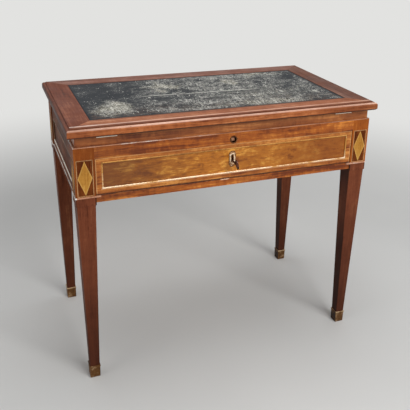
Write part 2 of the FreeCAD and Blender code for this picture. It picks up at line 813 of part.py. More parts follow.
def build_hinges():
    gap = size.knuckle_gap
    lower = hinge_leaf("lower_leaf", lower_leaf_z, [(-middle_knuckle, middle_knuckle)])
    upper = hinge_leaf("upper_leaf", upper_leaf_z, [(-hinge_half, -middle_knuckle - gap),
                                                    (middle_knuckle + gap, hinge_half)])
    pin = rod("left_hinge_pin", "x", size.hinge_pin, hinge_x, (hinge_y, hinge_z))
    node(both_sides("lower_hinge_leaves", lower))
    node(both_sides("upper_hinge_leaves", upper))
    node(both_sides("hinge_pins", pin))


def build_lift_frame():
    z = (band_bottom, band_top)
    front_blank = block("lift_front_blank", (band_left, -band_left), (band_front, band_front_in), z)
    leaf_recess = block("lower_leaf_recess", hinge_x, (band_front, band_front + size.leaf_width),
                        lower_leaf_z)
    node(cut("lift_rail_front", front_blank, both_sides("lower_leaf_recesses", leaf_recess)))
    node(block("lift_rail_back", (band_left, -band_left), (-band_front_in, -band_front), z))
    left = block("lift_rail_left", (band_left, band_left_in), (band_front_in, -band_front_in), z)
    node(both_sides("lift_side_rails", left))
    node(block("tray_board", (band_left_in, -band_left_in), (band_front_in, -band_front_in),
               (band_bottom, tray_top)))


# Notched batten on the tray: its crests run just under the path of the prop's foot bar.
def build_battens():
    body = new_body("batten_left")
    slope = size.prop_drop / size.prop_reach
    drop = size.arm_thickness / 2 + size.foot_gap

    def crest(distance):
        return hinge_z - slope * distance - drop

    start = size.batten_start
    end = start + size.notch_pitch * size.notch_count
    corners = [(hinge_y + end, tray_top), (hinge_y + start, tray_top), (hinge_y + start, crest(start))]
    for index in range(1, int(size.notch_count.value)):
        step = start + size.notch_pitch * index
        corners.append((hinge_y + step, crest(step) - size.notch_depth))
        corners.append((hinge_y + step, crest(step)))
    corners.append((hinge_y + end, crest(end)))
    pad(body, outline(body, "batten_outline", "YZ_Plane", corners), size.batten_width, symmetric=True)
    place(body, -size.batten_x, 0, 0)
    node(both_sides("notched_battens", body))


def build_prop():
    reach = size.prop_reach
    half_arm = size.arm_thickness / 2
    bar_half = size.prop_x + size.arm_width / 2
    arm_x = (-size.prop_x - size.arm_width / 2, -size.prop_x + size.arm_width / 2)
    arm = block("prop_arm", arm_x, (0, reach), (-half_arm, half_arm))
    eye = rod("prop_eye", "x", size.arm_thickness, arm_x, (0, 0))
    foot = rod("prop_foot", "x", size.arm_thickness, (-bar_half, bar_half), (reach, 0))
    stay = block("prop_stay", (-bar_half, bar_half), (size.stay_out, size.stay_out + size.arm_width),
                 (-half_arm, half_arm))
    pivot = rod("prop_bore", "x", size.pivot_pin + 2 * size.shaft_fit, (-bar_half, bar_half), (0, 0))
    arms = both_sides("prop_arms", fuse("prop_arm_left", arm, eye))
    prop = node(cut("prop_frame", fuse("prop_blank", arms, foot, stay), pivot))
    prop.Placement = Placement(Vector(), Rotation(Vector(-1, 0, 0), 1))
    prop.setExpression("Placement.Rotation.Angle", f"atan({(size.prop_drop / reach).text})")
    pivot_y = hinge_y + reach
    pivot_z = hinge_z - size.prop_drop
    place(prop, 0, pivot_y, pivot_z)

    outer = -bar_half - size.arm_gap
    half_block = size.pivot_block / 2
    cheek = block("pivot_cheek", (outer - size.pivot_block, outer),
                  (pivot_y - half_block, pivot_y + half_block), (pivot_z - half_arm, underside))
    pin_span = (outer - size.pivot_block, -size.prop_x + size.arm_width / 2)
    socket = rod("pivot_socket", "x", size.pivot_pin, pin_span, (pivot_y, pivot_z))
    pin = rod("pivot_pin_left", "x", size.pivot_pin, pin_span, (pivot_y, pivot_z))
    node(both_sides("prop_pivot_blocks", cut("pivot_block_left", cheek, socket)))
    node(both_sides("prop_pivot_pins", pin))


def edges_at(shape, y, z):
    spot = Vector(0, y, z)
    found = []
    for index, edge in enumerate(shape.Edges, start=1):
        ends = [Vector(0, vertex.Point.y, vertex.Point.z) for vertex in edge.Vertexes]
        if all(end.distanceToPoint(spot) < same_spot for end in ends):
            found.append(f"Edge{index}")
    return found


# Border rail lying along X with its nose at y = 0: a quirk, an ovolo and a chamfered underside,
# mitred at both ends.
def border_rail(label, half_length):
    body = new_body(label)
    height = size.top_thickness
    nose_top = height - size.quirk_depth
    section = [
        (size.under_chamfer, 0),
        (size.border_width, 0),
        (size.border_width, height),
        (size.quirk_in, height),
        (size.quirk_in, nose_top),
        (0, nose_top),
        (0, size.under_chamfer),
    ]
    profile = outline(body, f"{label}_section", "YZ_Plane", section)
    length = pad(body, profile, 2 * half_length, symmetric=True)
    doc.recompute()
    ovolo = body.newObject("PartDesign::Fillet", f"{label}_ovolo")
    ovolo.Base = (length, edges_at(length.Shape, 0, nose_top.value))
    bind(ovolo, {"Radius": size.ovolo_radius})
    waste = size.border_width + size.quirk_in
    for end, way in (("left", -1), ("right", 1)):
        tip = way * half_length
        inner = way * (half_length - size.border_width)
        beyond = way * (half_length + waste)
        mitre = [(tip, 0), (beyond, 0), (beyond, size.border_width), (inner, size.border_width)]
        pocket = body.newObject("PartDesign::Pocket", f"{label}_mitre_{end}")
        pocket.Profile = outline(body, f"{label}_mitre_{end}_sketch", "XY_Plane", mitre)
        pocket.Type = "ThroughAll"
        pocket.SideType = "Symmetric"
        doc.recompute()
    return body


def build_top():
    front = border_rail("border_front_plain", half_width)
    place(front, 0, -half_depth, underside)
    leaf_recess = block("upper_leaf_recess", hinge_x, (hinge_y, band_front + size.leaf_width), upper_leaf_z)
    knuckle_groove = rod("knuckle_groove", "x", size.knuckle_diameter + 2 * size.knuckle_room,
                         (hinge_x[0] - size.knuckle_gap, hinge_x[1] + size.knuckle_gap), (hinge_y, hinge_z))
    recesses = both_sides("hinge_recesses", fuse("hinge_recess", leaf_recess, knuckle_groove))
    node(cut("top_border_front", front, recesses))
    turned = {
        "top_border_back": (180, half_width, (0, half_depth)),
        "top_border_left": (-90, half_depth, (-half_width, 0)),
        "top_border_right": (90, half_depth, (half_width, 0)),
    }
    for label, (angle, half_length, (x, y)) in turned.items():
        rail = node(border_rail(label, half_length))
        rail.Placement = Placement(Vector(), Rotation(Vector(0, 0, 1), angle))
        place(rail, x, y, underside)

    inner_x = half_width - size.border_width
    inner_y = half_depth - size.border_width
    leather_top = size.top_height - size.leather_sink
    core_top = leather_top - size.leather_thickness
    node(block("top_core", (-inner_x, inner_x), (-inner_y, inner_y), (underside, core_top)))
    node(block("top_leather", (-inner_x, inner_x), (-inner_y, inner_y), (core_top, leather_top)))


# Drawer faces, the lock let into the back of the drawer front, and the key's axis.
drawer_half = leg_inner_x - size.drawer_gap
drawer_bottom_z = lower_rail_top + size.slide_gap
drawer_front_z = (lower_rail_top + size.drawer_gap, upper_rail_bottom - size.drawer_gap)
drawer_panel_y = rail_front + size.panel_sink
drawer_end = -rail_front_in - size.drawer_back_gap
lock_front = rail_front_in - size.lock_depth
lock_x = (-size.lock_width / 2, size.lock_width / 2)
key_height = upper_rail_bottom - size.key_drop
escutcheon_middle = key_height + size.escutcheon_rise
lock_z = (key_height - size.lock_below, drawer_front_z[1])
bolt_y = (rail_front_in - size.lock_wall - size.bolt_fit - size.bolt_thickness,
          rail_front_in - size.lock_wall - size.bolt_fit)
bolt_x = (size.bolt_x - size.bolt_width / 2, size.bolt_x + size.bolt_width / 2)
bolt_slot_x = (bolt_x[0] - size.bolt_fit, bolt_x[1] + size.bolt_fit)
bolt_slot_y = (bolt_y[0] - size.bolt_fit, bolt_y[1] + size.bolt_fit)
key_axis = (as_size(0), key_height)


def keyhole(label, y):
    ring = rod(f"{label}_ring", "y", size.keyhole_diameter, y, key_axis)
    slot_top = key_height + size.keyhole_rise
    slot = block(f"{label}_slot", (-size.keyhole_slot / 2, size.keyhole_slot / 2), y,
                 (key_height, slot_top))
    slot_end = rod(f"{label}_end", "y", size.keyhole_slot, y, (0, slot_top))
    return fuse(label, ring, slot, slot_end)


def build_drawer():
    across = (-drawer_half, drawer_half)
    panel_x = (-drawer_half + size.panel_end, drawer_half - size.panel_end)
    blank = block("drawer_front_blank", across, (rail_front, rail_front_in), drawer_front_z)
    sink = block("drawer_front_sink", panel_x, (rail_front, drawer_panel_y), (panel_bottom, panel_top))
    lock_mortise = block("lock_mortise", lock_x, (lock_front, rail_front_in), lock_z)
    front_keyhole = keyhole("front_keyhole", (drawer_panel_y, lock_front))
    node(cut("drawer_front", blank, sink, lock_mortise, front_keyhole))
    node(bead_frame("drawer_panel_bead", panel_x, (rail_front - size.bead_proud, drawer_panel_y),
                    (panel_bottom, panel_top), "y"))
    side_top = board_bottom - size.drawer_over
    inner = -drawer_half + size.drawer_side
    side = block("drawer_side_left", (-drawer_half, inner), (rail_front_in, drawer_end),
                 (drawer_bottom_z, side_top))
    node(both_sides("drawer_sides", side))
    floor_top = drawer_bottom_z + size.drawer_bottom_rise + size.drawer_bottom
    node(block("drawer_back", (inner, -inner), (drawer_end - size.drawer_side, drawer_end),
               (floor_top, side_top)))
    node(block("drawer_bottom", (inner, -inner), (rail_front_in, drawer_end),
               (drawer_bottom_z + size.drawer_bottom_rise, floor_top)))


def build_lock():
    wall = size.lock_wall
    shell = block("lock_shell", lock_x, (lock_front, rail_front_in), lock_z)
    hollow = block("lock_hollow", (lock_x[0] + wall, lock_x[1] - wall),
                   (lock_front + wall, rail_front_in - wall), (lock_z[0] + wall, lock_z[1] - wall))
    bolt_slot = block("bolt_slot", bolt_slot_x, bolt_slot_y, (lock_z[1] - wall, lock_z[1]))
    lock_keyhole = keyhole("lock_keyhole", (lock_front, lock_front + wall))
    node(cut("lock_case", shell, hollow, bolt_slot, lock_keyhole))
    bolt_top = lock_z[1] - size.bolt_fit
    node(block("lock_bolt", bolt_x, bolt_y, (bolt_top - size.bolt_height, bolt_top)))

    plate_y = (drawer_panel_y - size.escutcheon_thickness, drawer_panel_y)
    half_plate = size.escutcheon_width / 2
    round_up = escutcheon_middle + (size.escutcheon_height / 2 - half_plate)
    round_down = escutcheon_middle - (size.escutcheon_height / 2 - half_plate)
    plate = fuse("escutcheon_blank",
                 block("escutcheon_middle", (-half_plate, half_plate), plate_y, (round_down, round_up)),
                 rod("escutcheon_head", "y", size.escutcheon_width, plate_y, (0, round_up)),
                 rod("escutcheon_foot", "y", size.escutcheon_width, plate_y, (0, round_down)))
    pin_out = size.escutcheon_height / 2 - size.pin_inset
    pin_y = (plate_y[0] - size.bead_proud, plate_y[1])
    pin_heights = {"up": escutcheon_middle + pin_out, "down": escutcheon_middle - pin_out}
    pins = [
        rod(f"escutcheon_pin_{way}", "y", size.pin_diameter, pin_y, (0, height))
        for way, height in pin_heights.items()
    ]
    pierced = cut("escutcheon_plate", plate, keyhole("plate_keyhole", plate_y), *pins)
    node(group("escutcheon", pierced, *pins))


# An upright oval plate across the key's stem, outside or inside of its bow.
def bow_plate(label, width, middle_y):
    half_width = width / 2
    straight = (size.key_bow - size.key_bow_width) / 2
    x = (-size.key_wire / 2, size.key_wire / 2)
    return fuse(label,
                block(f"{label}_middle", x, (middle_y - half_width, middle_y + half_width),
                      (-straight, straight)),
                rod(f"{label}_head", "x", width, x, (middle_y, straight)),
                rod(f"{label}_foot", "x", width, x, (middle_y, -straight)))


# Key in the lock: the stem along Y, an oval bow outside and a bit inside the lock case.
def build_key():
    bow_y = rail_front - size.key_reach
    bow_inside = size.key_bow_width - 2 * size.key_wire
    bow = cut("key_bow_ring", bow_plate("bow_outside", size.key_bow_width, bow_y),
              bow_plate("bow_inside", bow_inside, bow_y))
    stem_start = bow_y + bow_inside / 2
    stem_end = bolt_y[0] - size.key_clear
    stem = rod("key_stem_rod", "y", size.key_stem, (stem_start, stem_end), (0, 0))
    half_bit = size.key_bit_thickness / 2
    bit = block("key_bit_plate", (-half_bit, half_bit),
                (lock_front + size.lock_wall + size.bolt_fit, stem_end), (-size.key_bit, 0))
    collar_start = bow_y + size.key_bow_width / 2
    collar = rod("key_collar_ring", "y", size.key_collar,
                 (collar_start, collar_start + size.key_collar_length), (0, 0))
    key = node(fuse("key", stem, bow, bit, collar))
    key.Placement = Placement(Vector(), Rotation(Vector(0, 1, 0), 1))
    bind(key, {"Placement.Rotation.Angle": -size.key_rest_turn})
    place(key, 0, 0, key_height)


build_legs()
build_sabots()
build_inlay()
build_fillets()
build_rails()
build_drawer_bed()
build_bearings()
build_gears()
build_shafts()
build_racks()
build_hinges()
build_lift_frame()
build_battens()
build_prop()
build_top()
build_drawer()
build_lock()
build_key()
doc.recompute()

faults = []
for item in doc.Objects:
    if {"Invalid", "Error"} & set(item.State):
        faults.append(f"{item.Label} ({item.getStatusString()})")
for item in nodes:
    if item.Shape.isNull() or not item.Shape.isValid():
        faults.append(f"{item.Label} shape")
if faults:
    raise RuntimeError("faulty: " + ", ".join(faults))

for item in nodes:
    item.Shape.exportStep(f"parts/{item.Label}.step")
print(f"{len(nodes)} nodes written")
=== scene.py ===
import math

import bmesh
import bpy
from mathutils import Matrix, Vector, noise


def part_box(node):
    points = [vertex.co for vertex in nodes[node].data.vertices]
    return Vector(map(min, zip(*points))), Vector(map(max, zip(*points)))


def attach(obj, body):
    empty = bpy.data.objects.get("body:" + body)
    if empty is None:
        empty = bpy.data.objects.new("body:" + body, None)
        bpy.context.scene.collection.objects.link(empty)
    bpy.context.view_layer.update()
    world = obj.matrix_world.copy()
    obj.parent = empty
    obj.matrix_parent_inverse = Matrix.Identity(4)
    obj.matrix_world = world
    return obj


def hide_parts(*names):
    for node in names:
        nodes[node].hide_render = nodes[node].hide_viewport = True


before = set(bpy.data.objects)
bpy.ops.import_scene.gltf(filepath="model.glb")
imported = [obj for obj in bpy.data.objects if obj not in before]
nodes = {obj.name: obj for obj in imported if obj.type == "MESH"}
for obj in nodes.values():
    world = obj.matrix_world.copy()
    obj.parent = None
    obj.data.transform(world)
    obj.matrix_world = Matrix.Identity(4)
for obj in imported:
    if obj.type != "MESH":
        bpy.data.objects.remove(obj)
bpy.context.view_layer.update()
scene = bpy.context.scene
scene.view_settings.view_transform = "Standard"
print("frame loaded:", len(nodes), "nodes")

# lowest and highest corners of nodes that places are worked out from
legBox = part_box("leg_back_right")
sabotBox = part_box("leg_sabots")
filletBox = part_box("frieze_fillets")
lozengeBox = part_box("die_lozenges")
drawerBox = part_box("drawer_front")
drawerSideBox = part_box("drawer_sides")
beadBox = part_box("drawer_panel_bead")
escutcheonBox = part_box("escutcheon")
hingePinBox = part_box("hinge_pins")
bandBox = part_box("lift_rail_front")
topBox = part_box("top_border_front")
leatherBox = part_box("top_leather")
legMiddle = (legBox[0] + legBox[1]) / 2


# screen colour, 0 to 255, as the linear colour that a shader takes
def paint(red, green, blue):
    linear = [((c / 255 + 0.055) / 1.055) ** 2.4 if c > 10 else c / 3294.6 for c in (red, green, blue)]
    return (*linear, 1.0)


# node graph shorthands
def add(tree, kind, feed=None, **settings):
    node = tree.nodes.new(kind)
    for key, value in settings.items():
        setattr(node, key, value)
    for socket, value in (feed or {}).items():
        if isinstance(value, bpy.types.NodeSocket):
            tree.links.new(value, node.inputs[socket])
        else:
            node.inputs[socket].default_value = value
    return node


def calc(tree, operation, first, second=0.0, third=0.0):
    return add(tree, "ShaderNodeMath", {0: first, 1: second, 2: third}, operation=operation).outputs[0]


def plus(tree, first, *others):
    for other in others:
        first = calc(tree, "ADD", first, other)
    return first


def times(tree, first, *others):
    for other in others:
        first = calc(tree, "MULTIPLY", first, other)
    return first


def minus(tree, first, second):
    return calc(tree, "SUBTRACT", first, second)


def larger(tree, first, second):
    return calc(tree, "MAXIMUM", first, second)


def unsigned(tree, value):
    return calc(tree, "ABSOLUTE", value)


def apart(tree, first, second):
    return unsigned(tree, minus(tree, first, second))


# a value pushed up and down by a noise
def nudge(tree, value, wave, amount):
    return calc(tree, "MULTIPLY_ADD", minus(tree, wave, 0.5), amount, value)


# a smooth step: from, to, value before, value after; looks hold fades in this order
def fade(tree, value, start, end, low=0.0, high=1.0):
    feed = {"Value": value, "From Min": start, "From Max": end, "To Min": low, "To Max": high}
    return add(tree, "ShaderNodeMapRange", feed, interpolation_type="SMOOTHSTEP").outputs["Result"]


# a soft stripe between two limits; looks hold stripes in this order
def stripe(tree, value, low, high, soft):
    return times(tree, fade(tree, value, low - soft, low + soft), fade(tree, value, high + soft, high - soft))


def vectors(tree, operation, feed):
    return add(tree, "ShaderNodeVectorMath", feed, operation=operation).outputs


def blend(tree, amount, first, second):
    node = add(tree, "ShaderNodeMix", {0: amount, 6: first, 7: second}, data_type="RGBA", blend_type="MIX")
    return node.outputs[2]


def tint(tree, colour, amount, tone):
    return blend(tree, amount, colour, paint(*tone))


# a tint that comes in with a value; looks hold a shade as its fade and its tone
def shade(tree, colour, value, mark):
    return tint(tree, colour, fade(tree, value, *mark[0]), mark[1])


def tones(tree, amount, stops):
    node = add(tree, "ShaderNodeValToRGB", {0: amount})
    ramp = node.color_ramp
    ramp.interpolation = "EASE"
    while len(ramp.elements) < len(stops):
        ramp.elements.new(0.5)
    for element, (position, colour) in zip(ramp.elements, stops):
        element.position = position
        element.color = paint(*colour)
    return node.outputs["Color"]


def cloud(tree, coords, scale, detail=3.0, rough=0.55, turn=(0, 0, 0), shift=(0, 0, 0), warp=0.0):
    feed = {"Vector": coords, "Scale": scale, "Rotation": turn, "Location": shift}
    spot = add(tree, "ShaderNodeMapping", feed).outputs[0]
    feed = {"Vector": spot, "Scale": 1.0, "Detail": detail, "Roughness": rough, "Distortion": warp}
    return add(tree, "ShaderNodeTexNoise", feed).outputs[0]


# a noise stretched to use the whole range from 0 to 1
def spread(tree, value):
    return fade(tree, value, 0.28, 0.72)


# thin threads along the middle level of a noise
def threads(tree, value, width):
    return fade(tree, apart(tree, value, 0.5), width, 0.0)


def newFinish(name):
    finish = bpy.data.materials.new(name)
    finish.use_nodes = True
    tree = finish.node_tree
    shader = next(node for node in tree.nodes if node.type == "BSDF_PRINCIPLED")
    coords = add(tree, "ShaderNodeTexCoord").outputs["Object"]
    return finish, tree, shader, coords


def bumpOnto(tree, shader, height, strength, distance):
    bump = add(tree, "ShaderNodeBump", {"Height": height, "Strength": strength, "Distance": distance})
    tree.links.new(bump.outputs[0], shader.inputs["Normal"])


def axes(tree, coords):
    return add(tree, "ShaderNodeSeparateXYZ", {0: coords}).outputs[0:3]


# shared by the woods; a pattern has its scale across the grain and its stretch along it
allWood = {
    # waves of the grain: name, detail, roughness, warp
    "waves": [("figure", 3.0, 0.5, 0.9), ("streak", 4.0, 0.62, 0.4), ("curl", 3.0, 0.6, 0.6)],
    "fibre": (700, 30), "fleck": (230, 3.0), "fleckLevel": (0.62, 0.72),
    "pore": (1400, 22), "poreLevel": (0.60, 0.72), "poreDark": 0.4,
    "smudge": (9, 9, 9), "grimeLevel": (0.40, 0.68), "glossLevel": (0.25, 0.75),
    "coatRoughness": 0.2, "streakRelief": 0.4, "bump": (0.22, 0.0004),
}


# scale of a pattern that is stretched along the grain
def stretched(along, across, stretch):
    return tuple(across / stretch if axis == along else across for axis in "xyz")


# wood grain from 0, dark, to 1, light: broad figure, streaks, bands across the grain and fine fibre
def woodGrain(tree, coords, look):
    along, turn, shift = look["along"], look["turn"], look["shift"]
    waves = []
    for name, detail, rough, warp in allWood["waves"]:
        scale = stretched(along, *look[name])
        waves.append(spread(tree, cloud(tree, coords, scale, detail, rough, turn, shift, warp)))
    waves.append(spread(tree, cloud(tree, coords, stretched(along, *allWood["fibre"]), 2.0, 0.6)))
    grain = 0.5
    for wave, weight in zip(waves, look["mix"]):
        grain = nudge(tree, grain, wave, weight)
    return grain, waves[1]


# what polish and age add: grime in clouds, dark flecks and pores, uneven gloss
def polish(tree, shader, coords, look, colour, streak):
    along, shift = look["along"], look["shift"]
    smudge = cloud(tree, coords, allWood["smudge"], 4.0, 0.6, shift=shift)
    fleck = cloud(tree, coords, stretched(along, *allWood["fleck"]), 2.0, 0.7, shift=shift)
    pore = cloud(tree, coords, stretched(along, *allWood["pore"]), 1.0)
    grime = fade(tree, smudge, *allWood["grimeLevel"], 0.0, look["grime"])
    flecks = fade(tree, fleck, *allWood["fleckLevel"], 0.0, look["flecks"])
    pores = fade(tree, pore, *allWood["poreLevel"])
    colour = tint(tree, colour, grime, look["grimeTone"])
    colour = tint(tree, colour, flecks, look["fleckTone"])
    colour = tint(tree, colour, times(tree, pores, allWood["poreDark"]), look["fleckTone"])
    tree.links.new(colour, shader.inputs["Base Color"])
    tree.links.new(fade(tree, smudge, *allWood["glossLevel"], *look["gloss"]), shader.inputs["Roughness"])
    shader.inputs["Specular IOR Level"].default_value = look["shine"]
    shader.inputs["Coat Weight"].default_value = look["coat"]
    shader.inputs["Coat Roughness"].default_value = allWood["coatRoughness"]
    relief = minus(tree, times(tree, streak, allWood["streakRelief"]), pores)
    bumpOnto(tree, shader, relief, *allWood["bump"])


def woodFinish(name, look, wear=None):
    finish, tree, shader, coords = newFinish(name)
    grain, streak = woodGrain(tree, coords, look)
    colour = tones(tree, grain, look["tones"])
    if wear:
        colour = wear(tree, coords, grain, streak, colour)
    polish(tree, shader, coords, look, colour, streak)
    return finish


# old metal: tarnish in clouds, brighter where it is rubbed
allMetal = {"speck": (420, 420, 420), "speckShare": 0.35, "glossLevel": (0.2, 0.8), "bump": (0.12, 0.0003)}


def metalFinish(name, look, wear=None):
    finish, tree, shader, coords = newFinish(name)
    tarnish = spread(tree, cloud(tree, coords, (look["cloud"],) * 3, 4.0, 0.65))
    speck = spread(tree, cloud(tree, coords, allMetal["speck"], 3.0, 0.6))
    amount = nudge(tree, 0.5, tarnish, look["swing"])
    amount = nudge(tree, amount, speck, allMetal["speckShare"] * look["swing"])
    if wear:
        amount = wear(tree, coords, amount)
    tree.links.new(tones(tree, amount, look["tones"]), shader.inputs["Base Color"])
    shader.inputs["Metallic"].default_value = look["metal"]
    tree.links.new(fade(tree, amount, *allMetal["glossLevel"], *look["gloss"]), shader.inputs["Roughness"])
    bumpOnto(tree, shader, amount, *allMetal["bump"])
    return finish


# legs: reddish tapered shanks with worn edges that are partly a painted highlight, darker towards the foot
# from dirt and painted shade, painted shade on the inner and outer faces and on the left dies, under dies as
# warm as the frieze
legLook = {
    "along": "z", "figure": (26, 9), "streak": (150, 20), "curl": (60, 0.8),
    "turn": (0, 0, 0), "shift": (3, 1, 0), "mix": (0.28, 0.24, 0.1, 0.16),
    "grime": 0.3, "grimeTone": (66, 33, 23), "flecks": 0.3, "fleckTone": (46, 22, 15),
    "tones": [(0.1, (72, 32, 19)), (0.5, (116, 62, 40)), (0.9, (156, 96, 64))],
    "gloss": (0.42, 0.58), "shine": 0.07, "coat": 0.0,
    "half": (0.0, 0.54, 0.0125, 0.024),  # half width from the foot up to the collar
    # worn edges, partly a painted highlight; then painted shade towards the foot, partly dirt, and on the
    # inner and outer faces
    "edges": (0.88, 0.99), "edgeWearAndGlint": (0.35, 0.75, 0.0, 0.5), "edgeTone": (164, 104, 74),
    "low": ((0.50, 0.02, 0.0, 0.75), (62, 31, 20)),
    "inner": ((-0.93, -0.99, 0.0, 0.75), (34, 14, 8)), "outer": ((0.93, 0.99, 0.0, 0.35), (62, 31, 20)),
    "dieFoot": (filletBox[0].z, filletBox[0].z + 0.002),
    "dieTones": [(0.1, (106, 48, 18)), (0.5, (162, 86, 32)), (0.9, (212, 132, 60))],
    # painted shade on the left dies
    "leftDieShade": 0.5, "leftDieTone": (98, 44, 18),
}


# how far a point is from the middle of the nearest leg, over the leg's half width there
def legReach(tree, coords, half):
    x, y, z = axes(tree, coords)
    fromX = apart(tree, unsigned(tree, x), legMiddle.x)
    fromY = apart(tree, unsigned(tree, y), legMiddle.y)
    return calc(tree, "DIVIDE", calc(tree, "MINIMUM", fromX, fromY), half)


# from -1 on the inner face of a leg to 1 on its outer face
def legOutward(tree, x, half):
    return calc(tree, "DIVIDE", minus(tree, unsigned(tree, x), legMiddle.x), half)


def legWear(tree, coords, grain, streak, colour):
    look = legLook
    x, y, z = axes(tree, coords)
    half = fade(tree, z, *look["half"])
    # worn edges, partly a painted highlight
    edges = fade(tree, legReach(tree, coords, half), *look["edges"])
    brightened = times(tree, edges, fade(tree, streak, *look["edgeWearAndGlint"]))
    colour = tint(tree, colour, brightened, look["edgeTone"])
    # darker towards the foot: dirt and painted shade
    colour = shade(tree, colour, z, look["low"])
    outward = legOutward(tree, x, half)
    # painted shade on the inner and outer faces
    colour = shade(tree, colour, outward, look["inner"])
    colour = shade(tree, colour, outward, look["outer"])
    die = tones(tree, grain, look["dieTones"])
    # painted shade on the left dies
    left = times(tree, calc(tree, "LESS_THAN", x, 0.0), look["leftDieShade"])
    die = tint(tree, die, left, look["leftDieTone"])
    return blend(tree, fade(tree, z, *look["dieFoot"]), colour, die)


# frieze, sides and band, with painted shade towards the left end, painted shade in patches along the gap
# under the drawer and a painted highlight on its edge
drawerFoot = drawerBox[0].z
friezeLook = {
    "along": "x", "figure": (22, 5), "streak": (105, 20), "curl": (34, 0.5),
    "turn": (0, 0.05, 0), "shift": (1, 4, 2), "mix": (0.55, 0.62, 0.26, 0.22),
    "grime": 0.3, "grimeTone": (112, 52, 22), "flecks": 0.5, "fleckTone": (74, 32, 14),
    "tones": [(0.08, (104, 44, 11)), (0.5, (166, 87, 26)), (0.92, (220, 138, 56))],
    "gloss": (0.28, 0.42), "shine": 0.25, "coat": 0.04,
    # painted shade towards the left end, painted shade in patches along the gap under the drawer, and a
    # painted highlight on the rail's edge there
    "left": ((-0.20, -0.36, 0.0, 0.45), (104, 50, 22)), "wander": 0.06,
    "joint": (drawerFoot - 0.003, drawerFoot, 0.0006), "jointEnds": (drawerBox[1].x + 0.002, drawerBox[1].x),
    "jointScale": (22, 1, 1), "jointPatches": (0.35, 0.6, 0.25, 0.85), "jointTone": (66, 30, 12),
    "glintAcross": (-0.033, -0.010, 0.003), "glintUp": (drawerFoot - 0.0040, drawerFoot - 0.0014, 0.0006),
    "glintTone": (230, 186, 154),
}
# painted shade: the side rails take darker tones than the frieze
sideLook = dict(
    friezeLook, along="y", shift=(6, 2, 1), turn=(0.05, 0, 0),
    tones=[(0.08, (54, 27, 16)), (0.5, (90, 51, 33)), (0.92, (126, 78, 52))],
    shine=0.08, coat=0.0, gloss=(0.5, 0.65),
)
bandLook = dict(
    friezeLook, shift=(8, 3, 5), grime=0.3, grimeTone=(96, 50, 28), mix=(0.32, 0.5, 0.2, 0.22),
    tones=[(0.08, (92, 42, 19)), (0.5, (144, 81, 40)), (0.92, (186, 118, 64))],
)
bandSideLook = dict(bandLook, along="y", turn=(0.05, 0, 0))


def friezeWear(tree, coords, grain, streak, colour):
    look = friezeLook
    x, y, z = axes(tree, coords)
    # painted shade towards the left end
    drift = nudge(tree, x, streak, look["wander"])
    colour = shade(tree, colour, drift, look["left"])
    # painted shade in patches along the gap under the drawer
    ends = fade(tree, unsigned(tree, x), *look["jointEnds"])
    darkening = fade(tree, cloud(tree, coords, look["jointScale"]), *look["jointPatches"])
    joint = times(tree, stripe(tree, z, *look["joint"]), ends, darkening)
    colour = tint(tree, colour, joint, look["jointTone"])
    # a painted highlight on the rail's edge in the gap
    front = calc(tree, "LESS_THAN", y, 0.0)
    glint = times(tree, stripe(tree, x, *look["glintAcross"]), stripe(tree, z, *look["glintUp"]), front)
    return tint(tree, colour, glint, look["glintTone"])


# the top's borders, lighter at the front with painted sheen, darker at the sides with painted shade; widths
# are measured inwards from the outer edge
topLook = {
    "along": "x", "figure": (22, 8), "streak": (160, 26), "curl": (30, 0.5),
    "turn": (0, 0, 0.04), "shift": (2, 7, 3), "mix": (0.34, 0.44, 0.2, 0.24),
    "grime": 0.35, "grimeTone": (112, 60, 38), "flecks": 0.4, "fleckTone": (70, 33, 21),
    "tones": [(0.08, (112, 60, 38)), (0.5, (162, 99, 67)), (0.92, (202, 144, 110))],
    "gloss": (0.42, 0.58), "shine": 0.08, "coat": 0.0,
    "half": (topBox[1].x, -topBox[0].y), "step": (0.010, 0.011), "breakupScale": (9, 9, 9),
    # painted lines along the front: highlights, and shade in the groove
    "line": (0.0220, 0.0285, 0.0014), "lineBreakup": (0.0, 1.0, 0.5, 0.95),
    "lineTone": (240, 194, 170), "leftEnd": (-0.20, -0.40), "leftLineTone": (250, 232, 220),
    "groove": (0.0085, 0.0180, 0.0014), "grooveDark": 0.7, "grooveTone": (84, 42, 26),
    "shoulder": (0.0015, 0.0080, 0.0010), "shoulderBreakup": (0.0, 1.0, 0.55, 0.95),
    "shoulderTone": (232, 190, 168),
    # sides and back: painted shade in the groove and on the outer face
    "sideGroove": (0.0070, 0.0098, 0.0005), "sideGrooveDark": 0.35, "sideGrooveTone": (58, 30, 22),
    "nose": (0.002, 0.006, 0.001), "noseRub": (0.2, 0.8, 0.0, 0.2), "noseTone": (150, 104, 84),
    "sideFace": ((0.0016, 0.0004, 0.0, 0.85), (70, 42, 36)),
    # face of the front, with painted shade along its lower edge, and the dirt along the leather
    "dirtEdge": (0.0565, 0.0675), "darkening": (0.0, 1.0, 0.7, 0.35), "dirtTone": (84, 54, 42),
    "face": (0.0016, 0.0006),
    "faceTones": [(0.08, (108, 50, 26)), (0.5, (172, 99, 56)), (0.92, (216, 144, 94))],
    "right": ((0.16, 0.40, 0.0, 0.45), (88, 42, 28)),
    "lowEdge": ((topBox[0].z + 0.0047, topBox[0].z + 0.0025, 0.0, 0.9), (54, 20, 12)),
}
# the back border: greyer tones that hold painted sheen
topBackLook = dict(
    topLook, shift=(9, 2, 3),
    tones=[(0.08, (88, 50, 40)), (0.5, (130, 88, 74)), (0.92, (164, 121, 105))],
)
# the left border: darker tones, painted shade
topLeftLook = dict(
    topLook, along="y", turn=(0, 0, -0.03), shift=(5, 1, 3),
    tones=[(0.08, (72, 34, 23)), (0.5, (108, 57, 40)), (0.92, (140, 86, 64))],
)
